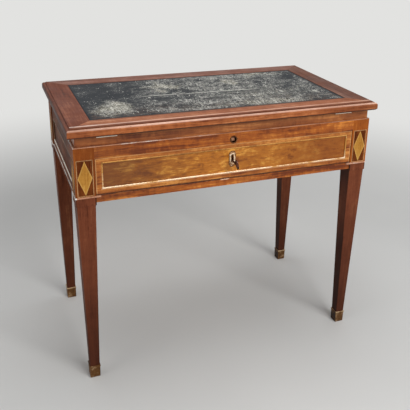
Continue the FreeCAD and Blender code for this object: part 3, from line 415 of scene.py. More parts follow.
# the right border: darker tones, painted shade
topRightLook = dict(
    topLeftLook, shift=(4, 6, 8),
    tones=[(0.08, (70, 40, 31)), (0.5, (106, 69, 55)), (0.92, (140, 100, 83))],
)


# how far a point of the top is from its outer edges at the sides and at the front or back
def fromEdges(tree, coords):
    x, y, z = axes(tree, coords)
    halfX, halfY = topLook["half"]
    return minus(tree, halfX, unsigned(tree, x)), minus(tree, halfY, unsigned(tree, y))


# along the front, mitres and all: a painted highlight line broken up by a noise, painted shade in the groove
# and a painted highlight on the shoulder
def frontLines(tree, coords, colour):
    look = topLook
    x, y, z = axes(tree, coords)
    inward = plus(tree, y, look["half"][1])
    breakup = spread(tree, cloud(tree, coords, look["breakupScale"], 4.0, 0.65, shift=(5, 2, 7)))
    within = fade(tree, fromEdges(tree, coords)[0], *look["step"])
    # a painted highlight line, whitest at the left end
    line = times(tree, stripe(tree, inward, *look["line"]), fade(tree, breakup, *look["lineBreakup"]))
    leftEnd = fade(tree, x, *look["leftEnd"])
    lineTone = blend(tree, leftEnd, paint(*look["lineTone"]), paint(*look["leftLineTone"]))
    colour = blend(tree, times(tree, line, within), colour, lineTone)
    # painted shade in the groove
    groove = times(tree, stripe(tree, inward, *look["groove"]), look["grooveDark"], within)
    colour = tint(tree, colour, groove, look["grooveTone"])
    # a painted highlight on the shoulder
    shoulder = stripe(tree, inward, *look["shoulder"])
    shoulder = times(tree, shoulder, fade(tree, breakup, *look["shoulderBreakup"]))
    return tint(tree, colour, shoulder, look["shoulderTone"])


# sides and back: painted shade in the groove at the foot of the step, and a rubbed nose over a face darkened
# by painted shade
def topWear(tree, coords, grain, streak, colour):
    inward = calc(tree, "MINIMUM", *fromEdges(tree, coords))
    # painted shade in the groove
    groove = times(tree, stripe(tree, inward, *topLook["sideGroove"]), topLook["sideGrooveDark"])
    colour = tint(tree, colour, groove, topLook["sideGrooveTone"])
    nose = times(tree, stripe(tree, inward, *topLook["nose"]), fade(tree, streak, *topLook["noseRub"]))
    colour = tint(tree, colour, nose, topLook["noseTone"])
    colour = frontLines(tree, coords, colour)
    # painted shade on the outer faces
    return shade(tree, colour, inward, topLook["sideFace"])


# front: its painted lines over an orange face with painted shade along its lower edge, and dirt along the
# leather
def frontWear(tree, coords, grain, streak, colour):
    look = topLook
    x, y, z = axes(tree, coords)
    inward = fromEdges(tree, coords)[1]
    colour = frontLines(tree, coords, colour)
    darkening = times(tree, fade(tree, inward, *look["dirtEdge"]), fade(tree, streak, *look["darkening"]))
    colour = tint(tree, colour, darkening, look["dirtTone"])
    face = tones(tree, grain, look["faceTones"])
    face = shade(tree, face, x, look["right"])
    colour = blend(tree, fade(tree, inward, *look["face"]), colour, face)
    # painted shade along the lower edge
    return shade(tree, colour, z, look["lowEdge"])


# inside pieces, and the drawer sides with their dovetails
innerLook = {
    "along": "y", "figure": (16, 8), "streak": (120, 24), "curl": (30, 0.6),
    "turn": (0, 0, 0), "shift": (2, 2, 8), "mix": (0.34, 0.46, 0.12, 0.3),
    "grime": 0.4, "grimeTone": (128, 92, 58), "flecks": 0.5, "fleckTone": (92, 62, 38),
    "tones": [(0.1, (130, 92, 54)), (0.5, (168, 128, 84)), (0.9, (198, 160, 112))],
    "gloss": (0.55, 0.75), "shine": 0.3, "coat": 0.0,
}
innerAcrossLook = dict(innerLook, along="x", shift=(4, 8, 1))
dovetail = {
    "front": drawerSideBox[0].y, "low": drawerSideBox[0].z, "depth": 0.014, "pitch": 0.0277,
    "half": (0.10, 0.24), "pinShade": 0.85, "pinTone": (112, 64, 36),
    "scribe": ((0.0008, 0.0002, 0.0, 0.6), (84, 54, 32)),
}


def dovetailWear(tree, coords, grain, streak, colour):
    x, y, z = axes(tree, coords)
    back = minus(tree, y, dovetail["front"])
    place = calc(tree, "FRACT", calc(tree, "DIVIDE", minus(tree, z, dovetail["low"]), dovetail["pitch"]))
    fromPin = minus(tree, 0.5, apart(tree, place, 0.5))
    half = fade(tree, back, 0.0, dovetail["depth"], *dovetail["half"])
    pin = calc(tree, "LESS_THAN", fromPin, half)
    pin = times(tree, pin, calc(tree, "LESS_THAN", back, dovetail["depth"]))
    colour = tint(tree, colour, times(tree, pin, dovetail["pinShade"]), dovetail["pinTone"])
    return shade(tree, colour, apart(tree, back, dovetail["depth"]), dovetail["scribe"])


# inlay of the dies: pale lozenge with a lighter rim on a dark ground, inside a thin string
lozengeLook = {
    "along": "z", "figure": (40, 6), "streak": (240, 20), "curl": (80, 0.6),
    "turn": (0, 0, 0), "shift": (7, 7, 7), "mix": (0.3, 0.4, 0.16, 0.2),
    "grime": 0.25, "grimeTone": (148, 98, 38), "flecks": 0.25, "fleckTone": (120, 76, 28),
    "tones": [(0.1, (150, 98, 36)), (0.5, (185, 131, 57)), (0.9, (213, 164, 86))],
    "gloss": (0.42, 0.55), "shine": 0.06, "coat": 0.0,
    "middle": (lozengeBox[0].z + lozengeBox[1].z) / 2,
    "half": (0.0185, (lozengeBox[1].z - lozengeBox[0].z) / 2),
    "rim": ((0.84, 0.92, 0.0, 0.55), (216, 174, 98)),
}
groundLook = dict(
    lozengeLook, grime=0.3, grimeTone=(52, 22, 12), fleckTone=(34, 14, 9), flecks=0.4,
    tones=[(0.1, (64, 26, 9)), (0.5, (104, 50, 16)), (0.9, (140, 74, 30))],
)
stringLook = dict(
    lozengeLook, grime=0.45, grimeTone=(112, 74, 44), fleckTone=(92, 58, 36), flecks=0.5,
    tones=[(0.1, (140, 96, 60)), (0.5, (190, 142, 96)), (0.9, (220, 182, 136))],
)


def lozengeWear(tree, coords, grain, streak, colour):
    halfX, halfZ = lozengeLook["half"]
    fromMiddle = apart(tree, axes(tree, coords)[2], lozengeLook["middle"])
    outline = plus(tree, legReach(tree, coords, halfX), calc(tree, "DIVIDE", fromMiddle, halfZ))
    return shade(tree, colour, outline, lozengeLook["rim"])


# plain metals
brassLook = {
    "tones": [(0.1, (120, 86, 48)), (0.5, (186, 148, 94)), (0.9, (232, 208, 164))],
    "metal": 0.9, "gloss": (0.5, 0.3), "cloud": 45, "swing": 1.0,
}
bushLook = dict(brassLook, tones=[(0.1, (60, 32, 18)), (0.5, (98, 58, 34)), (0.9, (150, 100, 62))])
ironLook = {
    "tones": [(0.1, (32, 26, 23)), (0.5, (56, 49, 44)), (0.9, (88, 79, 70))],
    "metal": 0.9, "gloss": (0.6, 0.42), "cloud": 45, "swing": 1.0,
}
keyLook = dict(ironLook, tones=[(0.1, (34, 14, 8)), (0.5, (60, 28, 15)), (0.9, (104, 58, 36))], metal=0.4)
arborLook = dict(
    ironLook, tones=[(0.1, (84, 48, 32)), (0.5, (136, 88, 62)), (0.9, (186, 140, 108))], metal=0.4,
)
steelLook = {
    "tones": [(0.1, (120, 114, 106)), (0.5, (166, 160, 152)), (0.9, (204, 200, 192))],
    "metal": 0.8, "gloss": (0.42, 0.3), "cloud": 45, "swing": 1.0,
}

# bead round the drawer's panel: painted highlight on the lowest run, most to the left, painted shade on the
# highest run
beadLook = {
    "tones": [(0.1, (140, 90, 36)), (0.5, (198, 140, 64)), (0.9, (250, 222, 186))],
    "metal": 0.4, "gloss": (0.5, 0.36), "cloud": 14, "swing": 0.5,
    "highRun": (beadBox[1].z - 0.0070, beadBox[1].z - 0.0055, 0.0, -0.16),
    "lowRun": (beadBox[0].z + 0.0070, beadBox[0].z + 0.0055), "lowHighlight": (-0.05, 0.30, 0.34, 0.20),
}


def beadWear(tree, coords, amount):
    x, y, z = axes(tree, coords)
    # painted shade on the highest run
    amount = plus(tree, amount, fade(tree, z, *beadLook["highRun"]))
    # painted highlight on the lowest run
    brightened = times(tree, fade(tree, z, *beadLook["lowRun"]), fade(tree, x, *beadLook["lowHighlight"]))
    return plus(tree, amount, brightened)


# beads on the sides and back are dull, but for a painted reflection on the lowest run
sideBeadLook = dict(
    beadLook, tones=[(0.1, (92, 62, 36)), (0.5, (150, 108, 66)), (0.9, (252, 240, 224))], lighten=(-0.35, 0.45),
)


def sideBeadWear(tree, coords, amount):
    z = axes(tree, coords)[2]
    # painted reflection on the lowest run
    return plus(tree, amount, fade(tree, z, *sideBeadLook["lowRun"], *sideBeadLook["lighten"]))


# strips: painted reflections on the sides, dull on the front, painted shade on the upper one, most to the
# right
filletLook = dict(
    beadLook, tones=[(0.1, (150, 96, 66)), (0.5, (196, 140, 108)), (0.9, (255, 250, 242))], metal=0.2,
    sideReflection=(legBox[1].x - 0.0035, legBox[1].x - 0.0005, 0.0, 0.35),
    upper=(0.65, 0.66), upperShade=(-0.22, 0.12, 0.0, -0.26),
)


def filletWear(tree, coords, amount):
    x, y, z = axes(tree, coords)
    # painted reflections on the sides
    amount = plus(tree, amount, fade(tree, unsigned(tree, x), *filletLook["sideReflection"]))
    # painted shade on the upper strip towards the right
    dull = times(tree, fade(tree, z, *filletLook["upper"]), fade(tree, x, *filletLook["upperShade"]))
    return plus(tree, amount, dull)


# escutcheon: rubbed bright round the top of the keyhole, wear and a painted highlight, with painted shade
# round the keyhole and along its outline
plateHalf = escutcheonBox[1].x
plateFoot = escutcheonBox[0].z
plateLook = dict(
    beadLook, cloud=170, swing=1.0,
    tones=[(0.1, (76, 42, 18)), (0.5, (168, 116, 66)), (0.9, (248, 222, 190))],
    keyhole=(plateFoot + 0.0175, plateFoot + 0.0315),
    middle=(plateFoot + plateHalf, escutcheonBox[1].z - plateHalf),
    upper=(plateFoot + 0.0075, plateFoot + 0.0235, 0.25, 1.0), lighten=(0.0085, 0.0055, 0.0, 0.45),
    keyholeShade=(0.0048, 0.0038, 0.0, -0.9), rim=(plateHalf - 0.0018, plateHalf - 0.0006, 0.0, -0.5),
)


# distance of a point of the drawer's face from an upright line between two heights
def fromSlot(tree, coords, low, high):
    x, y, z = axes(tree, coords)
    outside = larger(tree, larger(tree, minus(tree, low, z), minus(tree, z, high)), 0.0)
    return calc(tree, "SQRT", calc(tree, "MULTIPLY_ADD", x, x, times(tree, outside, outside)))


def escutcheonWear(tree, coords, amount):
    away = fromSlot(tree, coords, *plateLook["keyhole"])
    upper = fade(tree, axes(tree, coords)[2], *plateLook["upper"])
    # bright round the top of the keyhole: wear and a painted highlight
    amount = plus(tree, amount, times(tree, fade(tree, away, *plateLook["lighten"]), upper))
    # painted shade round the keyhole
    amount = plus(tree, amount, fade(tree, away, *plateLook["keyholeShade"]))
    # painted shade along the outline
    outline = fromSlot(tree, coords, *plateLook["middle"])
    return plus(tree, amount, fade(tree, outline, *plateLook["rim"]))


# sabots: painted highlights on the rims but for the front left one, painted shade on the inner faces
sabotTop = sabotBox[1].z
sabotLook = {
    "tones": [(0.1, (36, 18, 7)), (0.5, (102, 64, 22)), (0.9, (206, 176, 136))],
    "metal": 0.5, "gloss": (0.62, 0.42), "cloud": 60, "swing": 0.42,
    "half": (0.0, sabotTop, 0.0139, 0.0157),  # half width from the sole up to the rim
    "rim": (sabotTop - 0.004, sabotTop - 0.002), "rimHighlight": (-0.5, -0.3, 0.0, 0.30),
    "innerShade": (-0.90, -0.97, 0.0, -0.40),
}


def sabotWear(tree, coords, amount):
    x, y, z = axes(tree, coords)
    # painted highlights on the rims but for the front left one
    cornerwise = plus(tree, x, y)
    brightened = times(tree, fade(tree, z, *sabotLook["rim"]), fade(tree, cornerwise, *sabotLook["rimHighlight"]))
    # painted shade on the inner faces
    outward = legOutward(tree, x, fade(tree, z, *sabotLook["half"]))
    return plus(tree, amount, brightened, fade(tree, outward, *sabotLook["innerShade"]))


# the drawer front: a sunk veneered panel inside straight-grained edges
drawerHalf, drawerTop = drawerBox[1].x, drawerBox[1].z
beadHalf, beadFoot, beadTop = beadBox[1].x, beadBox[0].z, beadBox[1].z
panelLook = {
    "along": "x", "figure": (34, 2.2), "streak": (120, 5), "curl": (60, 0.9),
    "turn": (0, 0.45, 0), "shift": (4, 9, 6), "mix": (0.40, 0.36, 0.2, 0.16),
    "grime": 0.25, "grimeTone": (126, 64, 20), "flecks": 0.6, "fleckTone": (88, 42, 13),
    "tones": [(0.06, (114, 56, 14)), (0.5, (182, 110, 34)), (0.94, (234, 168, 74))],
    "gloss": (0.26, 0.4), "shine": 0.25, "coat": 0.05,
    "sides": (beadHalf - 0.001, beadHalf - 0.002), "low": (beadFoot + 0.001, beadFoot + 0.002),
    "high": (beadTop - 0.001, beadTop - 0.002), "wander": 0.12,
    "left": ((-0.04, -0.34, 0.0, 0.85), (112, 64, 32)),
    "right": ((0.06, 0.30, 0.0, 0.68), (138, 72, 20)),
}
# light catches the edges of the drawer and the ledge under its panel, painted as highlights, and painted
# shade lies along its foot in the gap above the lower rail
drawerEdgeLook = dict(
    friezeLook, shift=(3, 5, 9),
    tones=[(0.08, (112, 52, 18)), (0.5, (170, 97, 38)), (0.92, (214, 144, 70))],
    rimSides=(drawerHalf - 0.0025, drawerHalf + 0.0010, 0.0005),
    rimTop=(drawerTop - 0.0028, drawerTop - 0.0018), rimLight=0.6, rimTone=(224, 170, 112),
    ledge=(beadFoot - 0.0015, beadFoot + 0.0020, 0.0006), ledgeEnds=(beadHalf + 0.003, beadHalf + 0.001),
    ledgeLight=0.45, ledgeTone=(232, 186, 142),
    foot=((drawerFoot + 0.0030, drawerFoot + 0.0018, 0.0, 0.85), (72, 34, 14)),
)


def drawerPanel(tree, coords, x):
    grain, streak = woodGrain(tree, coords, panelLook)
    panel = tones(tree, grain, panelLook["tones"])
    drift = nudge(tree, x, streak, panelLook["wander"])
    panel = shade(tree, panel, drift, panelLook["left"])
    return shade(tree, panel, drift, panelLook["right"])


def drawerEdges(tree, outX, z, grain):
    look = drawerEdgeLook
    edge = tones(tree, grain, look["tones"])
    # painted highlights on the edges
    rim = larger(tree, stripe(tree, outX, *look["rimSides"]), fade(tree, z, *look["rimTop"]))
    edge = tint(tree, edge, times(tree, rim, look["rimLight"]), look["rimTone"])
    # painted highlight on the ledge
    ends = fade(tree, outX, *look["ledgeEnds"])
    ledge = times(tree, stripe(tree, z, *look["ledge"]), ends, look["ledgeLight"])
    edge = tint(tree, edge, ledge, look["ledgeTone"])
    # painted shade along the foot
    return shade(tree, edge, z, look["foot"])


def drawerFinish(name):
    finish, tree, shader, coords = newFinish(name)
    x, y, z = axes(tree, coords)
    outX = unsigned(tree, x)
    within = times(tree, fade(tree, outX, *panelLook["sides"]), fade(tree, z, *panelLook["low"]))
    within = times(tree, within, fade(tree, z, *panelLook["high"]))
    grain, streak = woodGrain(tree, coords, drawerEdgeLook)
    colour = blend(tree, within, drawerEdges(tree, outX, z, grain), drawerPanel(tree, coords, x))
    polish(tree, shader, coords, panelLook, colour, streak)
    return finish


finishes = {
    "legs": woodFinish("legMahogany", legLook, legWear),
    "frieze": woodFinish("friezeMahogany", friezeLook, friezeWear),
    "side": woodFinish("sideMahogany", sideLook),
    "band": woodFinish("bandMahogany", bandLook),
    "bandSide": woodFinish("bandSideMahogany", bandSideLook),
    "topFront": woodFinish("topFrontMahogany", topLook, frontWear),
    "topBack": woodFinish("topBackMahogany", topBackLook, topWear),
    "topLeft": woodFinish("topLeftMahogany", topLeftLook, topWear),
    "topRight": woodFinish("topRightMahogany", topRightLook, topWear),
    "drawer": drawerFinish("drawerVeneer"),
    "inner": woodFinish("innerOak", innerLook),
    "innerAcross": woodFinish("innerOakAcross", innerAcrossLook),
    "drawerSide": woodFinish("drawerSideOak", innerLook, dovetailWear),
    "lozenge": woodFinish("lozengeSatinwood", lozengeLook, lozengeWear),
    "ground": woodFinish("groundVeneer", groundLook),
    "string": woodFinish("stringBoxwood", stringLook),
    "brass": metalFinish("oldBrass", brassLook),
    "bead": metalFinish("beadBrass", beadLook, beadWear),
    "sideBead": metalFinish("sideBeadBrass", sideBeadLook, sideBeadWear),
    "fillet": metalFinish("filletBrass", filletLook, filletWear),
    "plate": metalFinish("plateBrass", plateLook, escutcheonWear),
    "bush": metalFinish("bushBrass", bushLook),
    "sabot": metalFinish("sabotBrass", sabotLook, sabotWear),
    "iron": metalFinish("oiledIron", ironLook),
    "key": metalFinish("keyIron", keyLook),
    "arbor": metalFinish("arborIron", arborLook),
    "steel": metalFinish("turnedSteel", steelLook),
}
print("finishes made:", len(finishes))

# finish and edge rounding, in metres, of the carried-over nodes
dressed = {
    ("legs", 0.00045): ["leg_front_left", "leg_front_right", "leg_back_left", "leg_back_right"],
    ("legs", 0.0006): ["lift_posts"],
    ("sabot", 0.0004): ["leg_sabots"],
    ("string", 0): ["die_stringing"],
    ("lozenge", 0): ["die_lozenges"],
    ("ground", 0): ["die_grounds"],
    ("fillet", 0): ["frieze_fillets"],
    ("sideBead", 0.0014): ["frieze_panel_beads"],
    ("frieze", 0): ["front_upper_rail"],
    ("frieze", 0.0005): ["upper_rail_facing"],
    ("frieze", 0.0007): ["front_lower_rail", "back_rail"],
    ("side", 0.0007): ["side_rail_left", "side_rail_right"],
    ("bush", 0.0008): ["crank_bush"],
    ("inner", 0): ["drawer_runners", "drawer_guides", "board_cleats"],
    ("innerAcross", 0): ["top_core"],
    ("innerAcross", 0.0003): ["drawer_bottom"],
    ("innerAcross", 0.0005): ["mechanism_board", "tray_board"],
    ("innerAcross", 0.0006): ["drawer_back"],
    ("brass", 0.0003): ["lower_hinge_leaves", "upper_hinge_leaves"],
    ("brass", 0.0005): ["shaft_bearings"],
    ("arbor", 0): ["crank_arbor"],
    ("iron", 0): [
        "arbor_bevel", "cross_shaft_bevels", "side_bevel_left", "side_bevel_right",
        "pinions_left", "pinions_right", "lift_racks",
    ],
    ("iron", 0.0003): ["lock_case"],
    ("steel", 0): ["hinge_pins"],
    ("steel", 0.0003): ["prop_pivot_pins", "lock_bolt"],
    ("steel", 0.0004): ["cross_shaft", "side_shaft_left", "side_shaft_right"],
    ("band", 0.0006): ["lift_rail_front", "lift_rail_back", "prop_pivot_blocks"],
    ("bandSide", 0.0003): ["notched_battens"],
    ("bandSide", 0.0006): ["lift_side_rails"],
    ("bandSide", 0.0007): ["prop_frame"],
    ("topFront", 0.0004): ["top_border_front"],
    ("topBack", 0.0004): ["top_border_back"],
    ("topLeft", 0.0004): ["top_border_left"],
    ("topRight", 0.0004): ["top_border_right"],
    ("drawer", 0.0006): ["drawer_front"],
    ("bead", 0.0014): ["drawer_panel_bead"],
    ("drawerSide", 0.0006): ["drawer_sides"],
    ("plate", 0): ["escutcheon"],
    ("key", 0.0003): ["key"],
}
# modifiers that round edges; the width is the piece's own
edgeRounding = [
    ("weld", "WELD", {"merge_threshold": 0.00001}),
    ("flat", "DECIMATE", {"decimate_type": "DISSOLVE", "angle_limit": math.radians(0.5)}),
    ("edges", "BEVEL", {
        "segments": 3, "profile": 0.5, "limit_method": "ANGLE", "angle_limit": math.radians(40),
    }),
    ("shading", "WEIGHTED_NORMAL", {"weight": 80}),
]


def roundEdges(piece, width):
    for name, kind, settings in edgeRounding:
        modifier = piece.modifiers.new(name, kind)
        for key, value in settings.items():
            setattr(modifier, key, value)
    piece.modifiers["edges"].width = width


for (finishName, edgeWidth), nodeNames in dressed.items():
    for nodeName in nodeNames:
        piece = nodes[nodeName]
        piece.data.materials.clear()
        piece.data.materials.append(finishes[finishName])
        if edgeWidth:
            roundEdges(piece, edgeWidth)
print("nodes dressed:", sum(len(nodeNames) for nodeNames in dressed.values()))


# a bmesh as an object at the origin
def meshObject(name, mesh, finish):
    data = bpy.data.meshes.new(name)
    mesh.to_mesh(data)
    mesh.free()
    data.materials.append(finish)
    made = bpy.data.objects.new(name, data)
    scene.collection.objects.link(made)
    return made


# hinge plates: dull, with painted highlights along their edges, the left one more so, and painted shade on
# the right one
hingePlate = {
    "inner": 0.313, "outer": hingePinBox[1].x, "low": bandBox[1].z - 0.0066, "high": bandBox[1].z + 0.0002,
    "proud": 0.0006, "inside": 0.001, "softEdge": 0.0001,
    "screwPlaces": (-0.36, 0.0, 0.36), "screwRadius": 0.0014, "screwTop": 0.0010, "screwHeight": 0.0005,
}
hingeLook = dict(
    beadLook, tones=[(0.1, (60, 34, 22)), (0.5, (104, 66, 42)), (0.9, (250, 240, 224))],
    lowEdge=(hingePlate["low"] + 0.0018, hingePlate["low"] + 0.0012, 0.0, 0.5),
    highEdge=(hingePlate["high"] - 0.0016, hingePlate["high"] - 0.0010, 0.0, 0.5),
    rightShade=(-0.1, 0.1, 0.0, -0.18),
)


def hingeWear(tree, coords, amount):
    x, y, z = axes(tree, coords)
    # painted shade on the right plate
    amount = plus(tree, amount, fade(tree, x, *hingeLook["rightShade"]))
    # painted highlights along the top and bottom edges
    edges = larger(tree, fade(tree, z, *hingeLook["lowEdge"]), fade(tree, z, *hingeLook["highEdge"]))
    return plus(tree, amount, edges)


# small plates of the hinges, each with three screws, on the face of the band
def makeHingePlates():
    plate = hingePlate
    front = bandBox[0].y - plate["proud"]
    length = plate["outer"] - plate["inner"]
    depth = plate["proud"] + plate["inside"]
    height = plate["high"] - plate["low"]
    middle = (plate["outer"] + plate["inner"]) / 2
    level = plate["low"] + height / 2
    mesh = bmesh.new()
    for way in (-1, 1):
        block = bmesh.ops.create_cube(mesh, size=1.0)["verts"]
        bmesh.ops.scale(mesh, vec=(length, depth, height), verts=block)
        bmesh.ops.translate(mesh, vec=(way * middle, front + depth / 2, level), verts=block)
        for step in plate["screwPlaces"]:
            spot = Matrix.Translation((way * middle + step * length, front, level))
            bmesh.ops.create_cone(
                mesh, cap_ends=True, segments=16, radius1=plate["screwRadius"],
                radius2=plate["screwTop"], depth=plate["screwHeight"],
                matrix=spot @ Matrix.Rotation(math.radians(90), 4, "X"),
            )
    bmesh.ops.bevel(mesh, geom=mesh.edges[:], offset=plate["softEdge"], affect="EDGES", segments=2,
                    profile=0.5, material=-1)
    plates = meshObject("hingePlates", mesh, metalFinish("hingeBrass", hingeLook, hingeWear))
    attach(plates, "lift_frame")


makeHingePlates()
print("hinge plates set")

# the leather lining: dark hide with pale scuffs, rubbed to its flesh in patches, and one long crease
leatherLook = {
    "hide": [(0.1, (16, 20, 26)), (0.5, (31, 35, 41)), (0.9, (56, 59, 63))],
    "flesh": [(0.1, (70, 68, 60)), (0.5, (114, 110, 98)), (0.9, (166, 160, 142))],
    "hideMottle": 1.2, "fleshGrit": 0.9, "rim": (0.002, 0.016), "shine": 0.08, "gloss": (0.0, 0.8, 0.5, 0.82),
    "stainPlace": (-0.05, -0.18), "stain": (0.42, 0.62, 0.0, 0.45), "stainTone": (98, 72, 54),
    "haze": 0.12, "hazeTone": (96, 96, 94), "pebble": 520.0, "pebbleRelief": -0.6, "bump": (0.35, 0.0005),
    # patches: middle x, y, half width, half depth, strength; their outlines wander
    "patches": [
        (-0.288, -0.096, 0.052, 0.066, 1.0),
        (-0.262, -0.150, 0.040, 0.024, 0.4),
        (-0.112, 0.078, 0.036, 0.042, 0.95),
        (0.020, 0.040, 0.110, 0.050, 0.3),
        (0.124, 0.076, 0.042, 0.036, 0.95),
        (0.238, 0.160, 0.064, 0.028, 1.0),
        (0.180, -0.060, 0.200, 0.080, 0.45),
        (0.120, -0.152, 0.200, 0.036, 0.7),
        (0.300, -0.050, 0.080, 0.100, 0.22),
    ],
    "patchEdge": (1.6, 0.2), "sway": 0.15, "swayScale": 17.0,
    "bareBreak": (0.8, 1.7, 0.9), "bareLevel": (0.25, 1.05),
    # scuffs are denser to the right, but for the right end, and where the hide is worn
    "leftDense": (-0.34, 0.0, 0.2, 0.86), "rightDense": (0.16, 0.34, 1.0, 0.62), "wornDense": 0.9,
    "scuffTone": (220, 218, 208), "scuffPale": 0.8, "scuffGrit": (0.30, 0.44, 0.5, 1.0),
    # threads: scale across and deep, turn, shift
    "threads": [(26, 22, 0.5, (2, 1, 0)), (44, 18, -0.4, (8, 3, 0))],
    "threadWidth": 0.03, "threadDense": (0.05, 0.6, 0.0, 0.85),
    # flecks: scale across and deep, turn, level of the noise
    "flecks": [(105, 44, 0.5, 0.612), (190, 70, -0.2, 0.618), (330, 210, 0.9, 0.655)],
    "fleckSoft": 0.025, "fleckEven": 0.62, "fleckDense": 0.14,
}
crease = {
    "start": -0.21, "end": 0.19, "ends": 0.05, "offset": -0.007, "slope": -0.029, "width": 0.0021,
    "wander": 0.016, "wobble": 0.010, "mottle": (0.34, 0.50, 0.35, 1.0), "grit": (0.32, 0.46, 0.45, 1.0),
}


def leatherPatches(tree, coords):
    look = leatherLook
    feed = {"Vector": coords, "Scale": look["swayScale"], "Detail": 3.0}
    sway = add(tree, "ShaderNodeTexNoise", feed).outputs["Color"]
    sway = vectors(tree, "SUBTRACT", {0: sway, 1: (0.5, 0.5, 0.5)})[0]
    sway = vectors(tree, "SCALE", {0: sway, "Scale": look["sway"]})[0]
    swayed = vectors(tree, "ADD", {0: coords, 1: sway})[0]
    worn = 0.0
    for midX, midY, halfX, halfY, strength in look["patches"]:
        size = (1 / halfX, 1 / halfY, 0)
        place = (-midX / halfX, -midY / halfY, 0)
        spot = add(tree, "ShaderNodeMapping", {"Vector": swayed, "Location": place, "Scale": size}).outputs[0]
        away = vectors(tree, "LENGTH", {0: spot})["Value"]
        worn = larger(tree, worn, fade(tree, away, *look["patchEdge"], 0.0, strength))
    return worn


# crisp pale threads and flecks
def leatherScuffs(tree, coords, dense, grit):
    look = leatherLook
    scuff = 0.0
    for across, deep, turn, shift in look["threads"]:
        wave = cloud(tree, coords, (across, deep, 1), turn=(0, 0, turn), shift=shift, warp=2.6)
        scuff = larger(tree, scuff, threads(tree, wave, look["threadWidth"]))
    scuff = times(tree, scuff, fade(tree, dense, *look["threadDense"]))
    thick = times(tree, minus(tree, dense, look["fleckEven"]), look["fleckDense"])
    for across, deep, turn, level in look["flecks"]:
        wave = cloud(tree, coords, (across, deep, 1), 2.0, 0.6, (0, 0, turn), (6, 4, 0), 1.4)
        fleck = fade(tree, plus(tree, wave, thick), level, level + look["fleckSoft"])
        scuff = larger(tree, scuff, fleck)
    return times(tree, scuff, fade(tree, grit, *look["scuffGrit"]))


def leatherCrease(tree, x, y, broad, mottle, grit):
    line = calc(tree, "MULTIPLY_ADD", x, crease["slope"], crease["offset"])
    line = nudge(tree, line, broad, crease["wander"])
    line = nudge(tree, line, mottle, crease["wobble"])
    away = apart(tree, y, line)
    crack = fade(tree, away, crease["width"] * 2, crease["width"] * 0.5)
    start = fade(tree, x, crease["start"], crease["start"] + crease["ends"])
    end = fade(tree, x, crease["end"], crease["end"] - crease["ends"])
    broken = times(tree, fade(tree, mottle, *crease["mottle"]), fade(tree, grit, *crease["grit"]))
    return times(tree, crack, start, end, broken)


def leatherFinish(name):
    look = leatherLook
    finish, tree, shader, coords = newFinish(name)
    x, y, z = axes(tree, coords)
    broad = cloud(tree, coords, (13, 16, 16), 4.0, 0.6, shift=(3, 3, 3))
    mottle = cloud(tree, coords, (60, 80, 80), 5.0, 0.7, (0, 0, 0.3), (1, 6, 2), 0.6)
    grit = cloud(tree, coords, (300, 380, 380), 3.0, 0.7)
    fromSide = minus(tree, leatherBox[1].x, unsigned(tree, x))
    fromFront = minus(tree, leatherBox[1].y, unsigned(tree, y))
    rim = fade(tree, calc(tree, "MINIMUM", fromSide, fromFront), *look["rim"])
    worn = leatherPatches(tree, coords)
    uneven = times(tree, fade(tree, x, *look["leftDense"]), fade(tree, x, *look["rightDense"]))
    dense = larger(tree, times(tree, spread(tree, broad), uneven), times(tree, worn, look["wornDense"]))
    scuff = leatherScuffs(tree, coords, dense, grit)
    scuff = larger(tree, scuff, leatherCrease(tree, x, y, broad, mottle, grit))
    # the patches are broken up by mottling and grit
    bare = worn
    for wave, amount in zip((broad, mottle, grit), look["bareBreak"]):
        bare = nudge(tree, bare, wave, amount)
    bare = times(tree, fade(tree, bare, *look["bareLevel"]), rim)
    hide = tones(tree, nudge(tree, broad, mottle, look["hideMottle"]), look["hide"])
    stain = times(tree, fade(tree, y, *look["stainPlace"]), fade(tree, mottle, *look["stain"]), rim)
    hide = tint(tree, hide, stain, look["stainTone"])
    hide = tint(tree, hide, times(tree, dense, look["haze"], rim), look["hazeTone"])
    flesh = tones(tree, nudge(tree, mottle, grit, look["fleshGrit"]), look["flesh"])
    colour = blend(tree, bare, hide, flesh)
    colour = tint(tree, colour, times(tree, scuff, rim, look["scuffPale"]), look["scuffTone"])
    tree.links.new(colour, shader.inputs["Base Color"])
    tree.links.new(fade(tree, bare, *look["gloss"]), shader.inputs["Roughness"])
    shader.inputs["Specular IOR Level"].default_value = look["shine"]
    feed = {"Vector": coords, "Scale": look["pebble"]}
    pebble = add(tree, "ShaderNodeTexVoronoi", feed, feature="F1").outputs["Distance"]
    relief = minus(tree, times(tree, pebble, look["pebbleRelief"]), larger(tree, bare, scuff))
    bumpOnto(tree, shader, relief, *look["bump"])
    return finish


# its sheet: thin, cockled a little, pressed down along its crease and turned down at its rim
sheet = {
    "across": 200, "deep": 100, "thickness": 0.0012, "gap": 0.0003, "sink": 0.0003,
    "cockle": 0.00028, "cockleScale": (9, 12), "ripple": 0.00012, "rippleScale": (60, 60), "calmRim": 0.02,
    "dent": 0.0003, "dentWidth": 0.003, "rim": 0.003, "rimDrop": 0.0004,
}


# noise over the sheet, from -1 to 1
def sheetWave(spot, scale, layer):
    return noise.noise(Vector((spot.x * scale[0], spot.y * scale[1], layer)))


def leatherRise(spot, size):
    inset = min(size.x / 2 - abs(spot.x), size.y / 2 - abs(spot.y))
    calm = min(1.0, max(0.0, inset / sheet["calmRim"]))
    rise = sheetWave(spot, sheet["cockleScale"], 0.3) * sheet["cockle"] * calm
    rise += sheetWave(spot, sheet["rippleScale"], 1.7) * sheet["ripple"] * calm
    if crease["start"] < spot.x < crease["end"]:
        away = abs(spot.y - crease["offset"] - crease["slope"] * spot.x)
        rise -= sheet["dent"] * math.exp(-((away / sheet["dentWidth"]) ** 2))
    if inset < sheet["rim"]:
        rise -= sheet["rimDrop"] * (1 - inset / sheet["rim"])
    return rise


